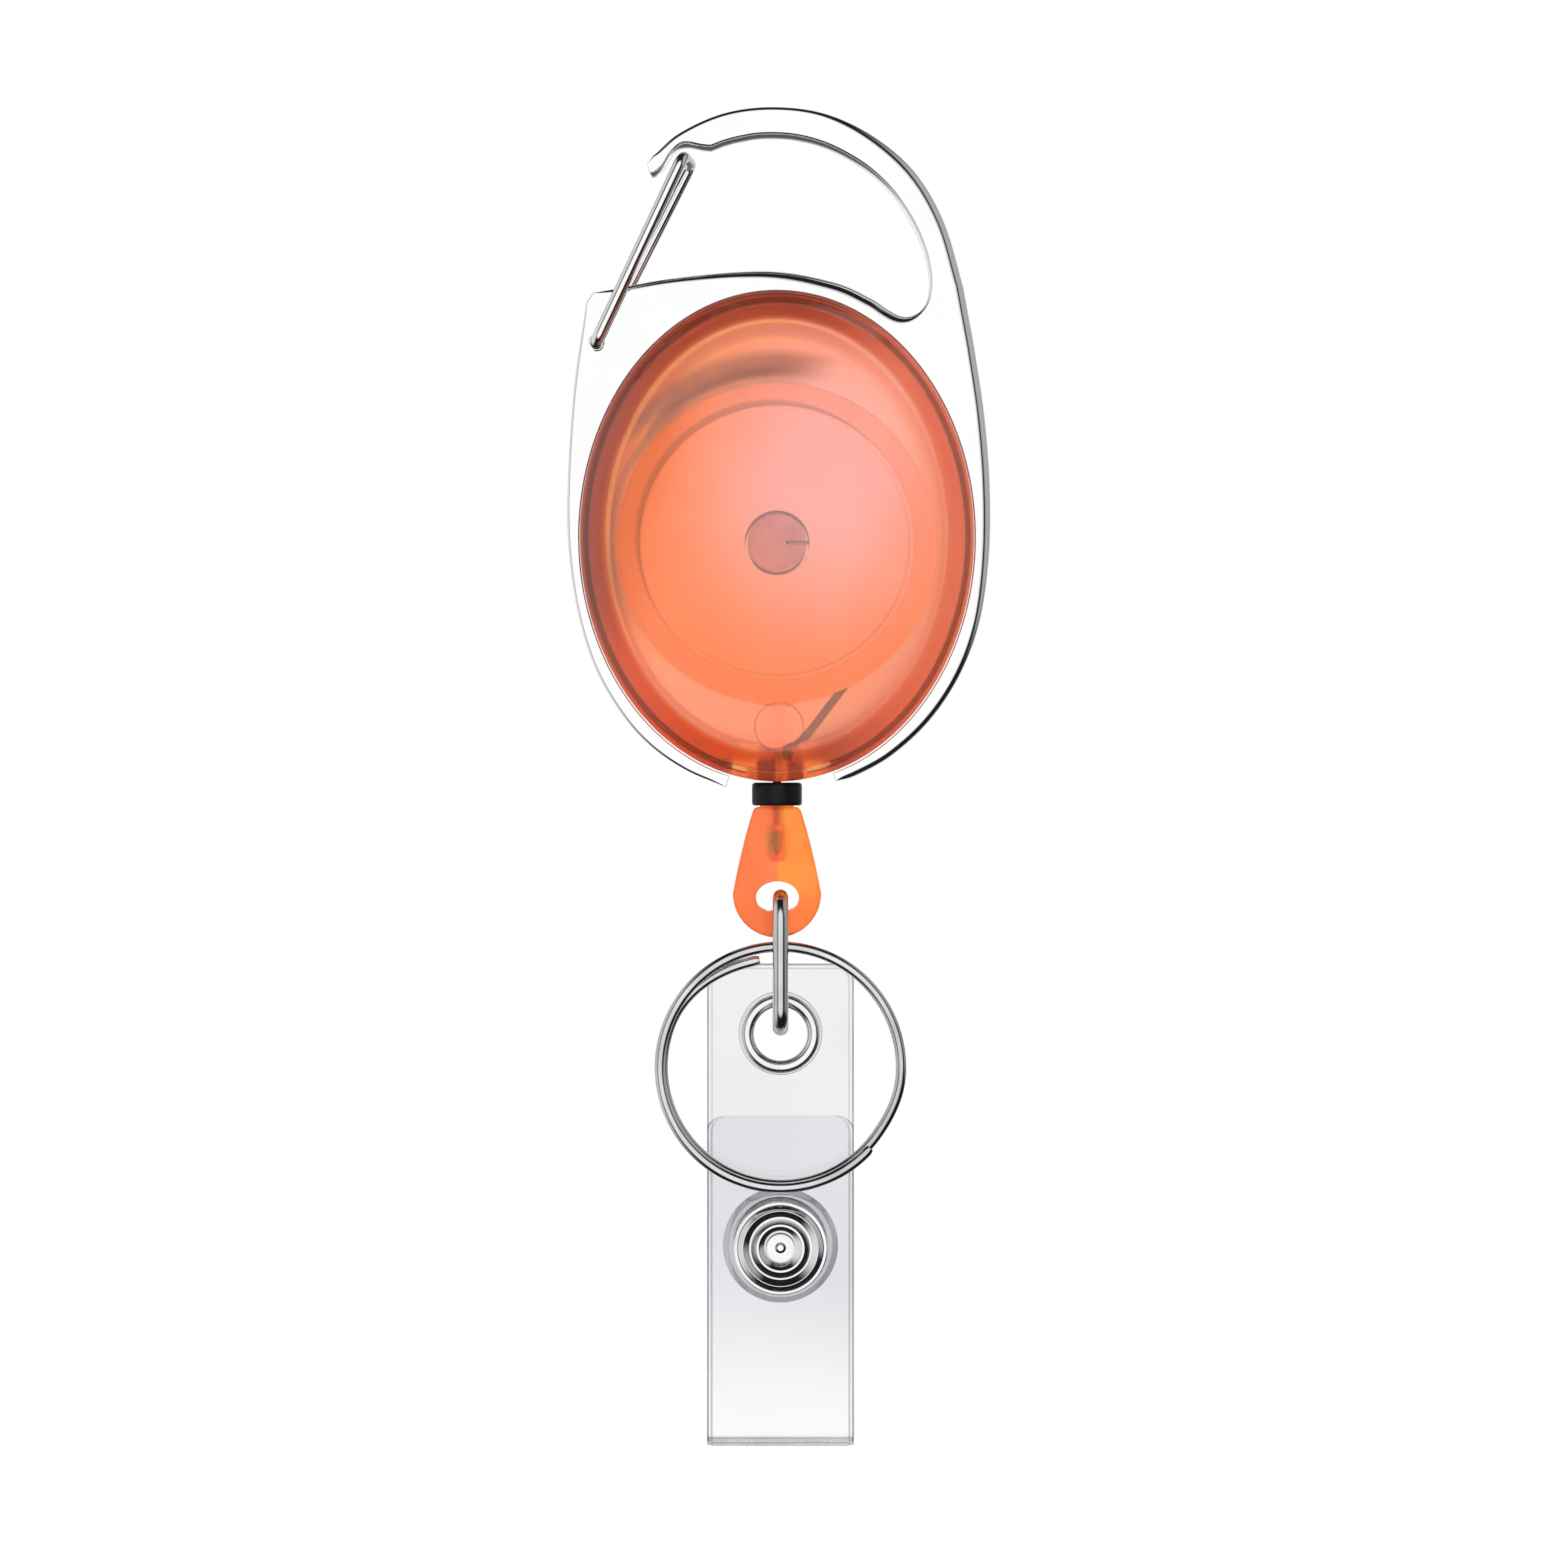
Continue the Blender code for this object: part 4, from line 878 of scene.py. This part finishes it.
def cord_knot(mat):
    """A small overhand knot that fills the tab's pocket."""
    points, steps = [], 120
    for i in range(steps):
        t = 2 * pi * i / steps
        across = (sin(t) + 2 * sin(2 * t)) * 0.22
        depth = sin(3 * t) * 0.34
        along = (cos(t) - 2 * cos(2 * t)) * 0.42
        points.append((across, depth, KNOT_Z + along))
    mesh = tube_mesh("cord_knot_fine", points, 0.36, cyclic=True, sides=4)
    return piece("cord_knot", mesh, "cord_end", "black_cord", mat)


# ---------------------------------------------------------------- tab


def stop_collar(mat):
    """Cup round the tab's neck, with soft edges."""
    top, foot, bore, inside = collar_high.z + 0.2, collar_low.z, 0.75, 2.0
    profile = [(bore, top), (COLLAR_R, top), (COLLAR_R, foot), (inside, foot), (inside, top - 0.6)]
    ring = softened([*profile, (bore, top - 0.6)], 0.4, 5)
    return piece("stop_collar", upright(ring, 96), "tab", "black_plastic", mat, 50)


def tab_half_width(z):
    """Half the teardrop's width at a height: nearly straight flanks that run into a round foot."""
    t = (z - TAB_FOOT_Z) / (TAB_TOP - TAB_FOOT_Z)
    return TAB_TOP_HALF_X + (TAB_FOOT_R - TAB_TOP_HALF_X) * (1 - t) ** 0.9 + 0.35 * t * (1 - t)


def pull_tab(mat):
    """Split teardrop with a neck, slit, knot pocket and the link's kidney-shaped hole."""
    down = [TAB_TOP + (TAB_FOOT_Z - TAB_TOP) * i / 24 for i in range(25)]
    foot = arc((0.0, TAB_FOOT_Z), TAB_FOOT_R, TAB_FOOT_R, 183.0, 357.0, 60)
    outline = [(-tab_half_width(z), z) for z in down] + foot
    outline += [(tab_half_width(z), z) for z in reversed(down)]
    obj = as_object("pull_tab_fine", plate(outline, -TAB_HALF_Y, TAB_HALF_Y), 60)
    bevel = obj.modifiers.new("soft edges", "BEVEL")
    bevel.width = 0.75 * MM
    bevel.segments = 6
    bevel.limit_method = "ANGLE"
    bevel.angle_limit = radians(60)
    settle(obj)
    neck_low, neck_high = TAB_TOP - 0.8, collar_high.z - 0.95
    neck = [(0.0, neck_low), (1.7, neck_low), (1.7, neck_high - 0.2), (1.5, neck_high), (0.0, neck_high)]
    carve(obj, "UNION", as_object("neck", upright(neck)))
    slit_x, slit_z = (-0.03, 0.03), (-35.0, -26.0)
    saddle = [(-0.9, -37.3), (-0.5, -37.22), (0.6, -37.22), (1.0, -37.3)]
    hole = arc((0.05, -35.95), 2.15, 1.65, -35.0, 215.0, 60) + smooth_path(saddle, 4)
    pocket = [(0.0, KNOT_Z + 2.0), (0.8, KNOT_Z + 1.9), (1.2, KNOT_Z + 1.1), (1.3, KNOT_Z)]
    pocket += [(1.2, KNOT_Z - 1.2), (0.8, KNOT_Z - 2.0), (0.0, KNOT_Z - 2.1)]
    channel = [(0.0, collar_high.z), (0.75, collar_high.z), (0.75, KNOT_Z), (0.0, KNOT_Z)]
    carve(
        obj,
        "DIFFERENCE",
        as_object("hole", plate(hole, -3.0, 3.0)),
        as_object("pocket", upright(pocket, 48)),
        as_object("channel", upright(channel, 48)),
        block(slit_x, (-3.0, -1.45), slit_z),
        block(slit_x, (1.45, 3.0), slit_z),
        sharp=45,
    )
    return finish_piece(obj, "tab", "orange_tab", mat, "pull_tab")


# ---------------------------------------------------------------- link and key ring


def link_ring(mat):
    """Closed oblong wire loop, front to back through the tab's hole and the eyelet."""
    side = link_high.y - LINK_WIRE - LINK_BEND
    top, foot = link_high.z - LINK_WIRE - LINK_BEND, link_low.z + LINK_WIRE + LINK_BEND
    points = []
    for y, z, start in ((-side, top, 180.0), (side, top, 90.0), (side, foot, 0.0), (-side, foot, -90.0)):
        points += [(HANG_X, *point) for point in arc((y, z), LINK_BEND, LINK_BEND, start, start - 90.0, 14)]
    mesh = tube_mesh("link_ring_fine", points, LINK_WIRE, cyclic=True, sides=8)
    return piece("link_ring", mesh, "link", "plated_steel", mat, 60)


def split_ring(mat):
    """Key ring: a flat rounded wire wound 1.6 turns, its rear end sprung a little inward."""
    start, end, steps = 101.0, 678.0, 300
    half_radial, half_axial = 0.52, 0.41
    section = arc((0.0, 0.0), half_radial, half_axial, 0.0, 345.0, 23)
    rings = []
    for i in range(steps + 1):
        turn = start + (end - start) * i / steps
        a = radians(turn)
        radius = RING_R - 0.9 * (1 - eased((turn - start) / 60.0))
        radius -= 0.25 * (1 - eased((turn - 325.0) / 30.0))
        plane = RING_PLANE_Y + 0.45 - 0.9 * eased((turn - 321.0) / 45.0)
        ends = min(turn - start, end - turn)
        slim = 0.75 + 0.25 * min(ends / 2.0, 1.0)
        ring = []
        for r, y in section:
            reach = radius + r * slim
            ring.append((HANG_X + reach * cos(a), plane + y * slim, RING_Z + reach * sin(a)))
        rings.append(ring)
    return piece("split_ring", loft(rings), "key_ring", "plated_steel", mat, 50)


# ---------------------------------------------------------------- strap


def strap_line(steps):
    """(y, z, normal y, normal z, distance from the nearer end) along the folded strap's middle."""
    top, end = strap_high.z, flap_high.z
    down, up, fold = top - FOLD_TURN_Z, end - FOLD_TURN_Z, pi * FOLD_R
    total = down + fold + up
    near_end = [0.0, 0.05, 0.15, 0.3, 0.5, 0.75, 1.05, 1.4, STRAP_CORNER]
    between = [STRAP_CORNER + (total - 2 * STRAP_CORNER) * i / steps for i in range(1, steps)]
    line = []
    for s in near_end + between + [total - s for s in reversed(near_end)]:
        near = min(s, total - s)
        if s <= down:
            line.append((LAYER_Y, top - s, -1.0, 0.0, near))
        elif s >= down + fold:
            line.append((FLAP_Y, FOLD_TURN_Z + (s - down - fold), 1.0, 0.0, near))
        else:
            a = (s - down) / FOLD_R
            y, z = LAYER_Y + FOLD_R - FOLD_R * cos(a), FOLD_TURN_Z - FOLD_R * sin(a)
            line.append((y, z, -cos(a), -sin(a), near))
    return line, total


def strap(mat):
    """The folded strap as one sheet with thickness, round corners, soft edges and cut holes."""
    columns, rounding = 24, 0.3
    line, total = strap_line(150)
    rings = []
    for y, z, ny, nz, near in line:
        inside = STRAP_CORNER - min(near, STRAP_CORNER)
        half_width = STRAP_HALF_X - STRAP_CORNER + sqrt(STRAP_CORNER**2 - inside**2)
        half_thick = STRAP_THICK / 2 * (0.55 + 0.45 * min(near / rounding, 1.0))
        ring = []
        for side, direction in ((1, 1), (-1, -1)):
            for i in range(columns + 1):
                across = direction * (2 * i / columns - 1)
                edge = max(1 - (1 - abs(across)) * STRAP_HALF_X / rounding, 0.0)
                lift = side * half_thick * (1 - 0.55 * edge**2)
                sag = 0.05 * sin(z * 0.55 + across * 1.4) * (1 - across**2)
                ring.append((HANG_X + across * half_width, y + ny * lift + sag * abs(ny), z + nz * lift))
        rings.append(ring)
    obj = as_object("strap_vinyl", loft(rings), 35)
    uv = obj.data.uv_layers.new(name="flat").data
    for loop in obj.data.loops:
        ring, place_in_ring = divmod(loop.vertex_index, len(rings[0]))
        across = place_in_ring % (columns + 1)
        from_end = line[ring][4] + (1.0 if ring > len(line) / 2 else 0.0)
        uv[loop.index].uv = (min(across, columns - across) / columns * 2 * STRAP_HALF_X, from_end)
    before, between, behind = -0.5, 2.1, 4.5
    carve(
        obj,
        "DIFFERENCE",
        drill((HANG_X, EYELET_Z), 3.35, before, between),
        drill((HANG_X, SNAP_Z), 2.3, before, between),
        drill((HANG_X, SNAP_Z), 1.6, between, behind),
        sharp=35,
    )
    finish_piece(obj, None, "clear_vinyl", mat, "strap_long", "strap_flap")
    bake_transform(obj)
    return obj


def pressed(node, profile, z, body, mat, sharp=45):
    """A pressed metal ring or disc on the strap; profile points are (radius, y)."""
    return piece(node, turned(profile, (HANG_X, z), 96), body, "plated_steel", mat, sharp)


def strap_metal(mat):
    """The eyelet and its washer, and the four pieces of the snap."""
    roll = [(3.36 + 0.68 * cos(radians(a)), 0.64 + 0.6 * sin(radians(a))) for a in range(180, 361, 15)]
    barrel = roll + [(3.15, 0.64), (3.15, 1.85), (3.75, 1.85), (3.75, 2.1), (3.3, 2.25), (2.8, 2.1)]
    pressed("eyelet_barrel", barrel, EYELET_Z, "strap", mat, 50)
    washer = softened([(3.4, 1.45), (3.4, 1.7), (4.2, 1.7), (4.2, 1.45)], 0.08)
    pressed("eyelet_washer", washer, EYELET_Z, "strap", mat)
    post = [(0.0, 0.92), (0.3, 0.9), (0.55, 1.0), (0.7, 1.0), (1.3, 0.98), (1.45, 0.93), (1.52, 0.86)]
    post += [(2.1, 0.34), (2.2, 0.29), (2.4, 0.29), (2.95, 0.55), (3.05, 0.57), (3.15, 0.57), (3.25, 0.52)]
    post += [(3.68, 0.13), (3.74, 0.1), (3.8, 0.1), (3.86, 0.13), (4.25, 0.5), (4.35, 0.54), (4.6, 0.55)]
    post += [(4.7, 0.65), (2.0, 0.65), (2.0, 1.3), (0.0, 1.3)]
    pressed("snap_post", post, SNAP_Z, "strap", mat, 18)
    stud = [(0.0, 1.45), (4.3, 1.45), (4.3, 1.6), (1.75, 1.6), (1.65, 1.9), (1.85, 2.2), (1.7, 2.5)]
    stud += [(0.0, 2.55)]
    pressed("snap_stud", stud, SNAP_Z, "strap", mat)
    socket = softened([(2.15, 1.9), (2.15, 2.75), (4.6, 2.75), (4.6, 2.2), (4.2, 1.9)], 0.1)
    pressed("snap_socket", socket, SNAP_Z, "flap", mat)
    dome = [(5.8 * cos(radians(a)), 3.85 + 0.85 * sin(radians(a))) for a in range(0, 91, 10)]
    cap = [(0.0, 2.8), (1.3, 2.8), (1.3, 3.5), (4.9, 3.5), (5.15, 3.5), (5.3, 3.54), (5.7, 3.8)]
    cap += dome[:-1] + [(0.0, 4.7)]
    pressed("snap_cap", cap, SNAP_Z, "flap", mat, 30)


# ---------------------------------------------------------------- stage


def add_camera():
    """A long lens straight in front of the reel."""
    data = bpy.data.cameras.new("camera")
    data.lens = 100.0
    data.sensor_width = 36.0
    camera = add_object("camera", data)
    view_width = 155.9 * MM
    distance = view_width * data.lens / data.sensor_width
    aim = place((0.25, 0.0, -24.1))
    camera.location = aim + Vector((0.0, -distance, 0.0))
    camera.rotation_euler = (pi / 2, 0.0, 0.0)
    bpy.context.scene.camera = camera


def add_world():
    """White behind the reel. Reflections see one bright screen before it, a light left side, a grey
    right side, white inside a grey ring behind it, and darkness elsewhere."""
    world = bpy.data.worlds.new("studio")
    bpy.context.scene.world = world
    world.use_nodes = True
    world.node_tree.nodes.clear()
    w = Nodes(world.node_tree)
    direction = w.add("ShaderNodeTexCoord").outputs["Generated"]
    forward = w.dot(direction, (0.0, 1.0, 0.0))
    upward = w.dot(direction, (0.0, 0.0, 1.0))
    left = w.span(w.dot(direction, (-1.0, 0.0, 0.0)), 0.015, 0.78, 0.5, 0.95)
    right = w.span(w.dot(direction, (0.93, 0.0, 0.37)), 0.0, 0.42, 0.7, 0.92)
    back = w.math("MULTIPLY", w.span(forward, 0.0, 0.9, 0.9, 0.985), w.span(upward, 0.1, 1.0, -0.11, 0.0))
    screens = w.span(forward, 1.05, 0.0, -0.93, -0.72)
    for screen in (left, right, back, w.band(forward, 0.45, 0.72, 0.93, 0.975, 0.6)):
        screens = w.math("MAXIMUM", screens, screen)
    soft = w.add("ShaderNodeBackground")
    w.link(screens, soft.inputs["Color"])
    white = w.add("ShaderNodeBackground")
    white.inputs["Color"].default_value = (1.0, 1.0, 1.0, 1.0)
    path = w.add("ShaderNodeLightPath")
    seen_through = w.span(path.outputs["Is Transmission Ray"], 0.0, 0.97, 0.0, 1.0)
    seen_through = w.math("MULTIPLY", seen_through, w.span(forward, 0.45, 1.0, -0.2, 0.2))
    mix = w.add("ShaderNodeMixShader")
    w.link(w.math("MAXIMUM", path.outputs["Is Camera Ray"], seen_through), mix.inputs["Fac"])
    w.link(soft.outputs["Background"], mix.inputs[1])
    w.link(white.outputs["Background"], mix.inputs[2])
    out = w.add("ShaderNodeOutputWorld")
    w.link(mix.outputs["Shader"], out.inputs["Surface"])


def add_light(name, offset, size, power):
    """A soft area light at an offset in metres from the middle of the housing, aimed at it."""
    data = bpy.data.lights.new(name, "AREA")
    data.shape = "DISK"
    data.size = size
    data.energy = power
    lamp = add_object(name, data)
    lamp.location = HOUSING + Vector(offset)
    lamp.rotation_euler = (-Vector(offset)).to_track_quat("-Z", "Y").to_euler()
    lamp.visible_glossy = False
    lamp.visible_transmission = False


def add_floor():
    """A pale floor with a faint glow, below the strap even when the cord is pulled right out. Only the
    camera sees it, not the metal or what shows through the plastic."""
    half_size, depth = 3.0, 1.1
    bm = bmesh.new()
    bmesh.ops.create_grid(bm, x_segments=1, y_segments=1, size=half_size)
    mesh = bpy.data.meshes.new("floor")
    bm.to_mesh(mesh)
    bm.free()
    floor = add_object("floor", mesh)
    floor.location = (0.0, 0.0, -depth)
    floor.visible_glossy = False
    floor.visible_diffuse = False
    floor.visible_transmission = False
    s = Shading("pale_floor")
    pale = s.shades(s.noise(2.0), (0.9, 0.9, 0.9), (0.93, 0.93, 0.93))
    s.colour(pale)
    s.link(pale, s.shader.inputs["Emission Color"])
    s.constant(roughness=0.9, emission_strength=0.8)
    mesh.materials.append(s.material)


def main():
    """Build the looks and finish."""
    bpy.context.scene.view_settings.view_transform = "Standard"
    add_camera()
    add_world()
    add_light("key", (0.16, -0.34, -0.20), 0.10, 1.15)
    add_light("fill", (-0.30, -0.30, 0.22), 0.35, 0.5)
    add_light("back", (-0.10, 0.34, 0.16), 0.3, 0.8)
    add_floor()

    chrome = bright_metal("polished_chrome", (0.975, 0.975, 0.98), (0.93, 0.93, 0.94), 0.05, 0.13)
    steel = bright_metal("nickel_wire", (0.84, 0.84, 0.85), (0.54, 0.54, 0.555), 0.06, 0.16, 1400.0)
    nickel = bright_metal("pressed_nickel", (0.96, 0.96, 0.965), (0.76, 0.765, 0.775), 0.06, 0.16, 1400.0)
    spring = bright_metal("spring_steel", (0.42, 0.43, 0.46), (0.30, 0.31, 0.33), 0.2, 0.35)
    axle = moulded("matte_axle", (0.62, 0.50, 0.54), (0.26, 0.21, 0.24), 0.5, 0.7, 1500.0, 0.3)
    reel = reel_plastic()
    black = moulded("black_plastic", (0.006, 0.008, 0.009), (0.003, 0.004, 0.005), 0.3, 0.45, gloss=0.2)
    orange = orange_shell()
    tab = tab_plastic()
    cord = braided_cord()
    vinyl = clear_vinyl()

    carabiner_frame(chrome)
    wire_gate(chrome)
    shell("front_shell", -1, orange)
    shell("rear_shell", 1, orange)
    cord_guide(orange)
    axle_post(axle)
    spool(reel)
    spool_cover(reel)
    wound_cord(cord)
    cord_tail(cord)
    cord_knot(cord)
    stop_collar(black)
    pull_tab(tab)
    link_ring(steel)
    split_ring(steel)
    strap(vinyl)
    strap_metal(nickel)
    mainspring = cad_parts["mainspring"]
    mainspring.data.materials.clear()
    mainspring.data.materials.append(spring)


main()
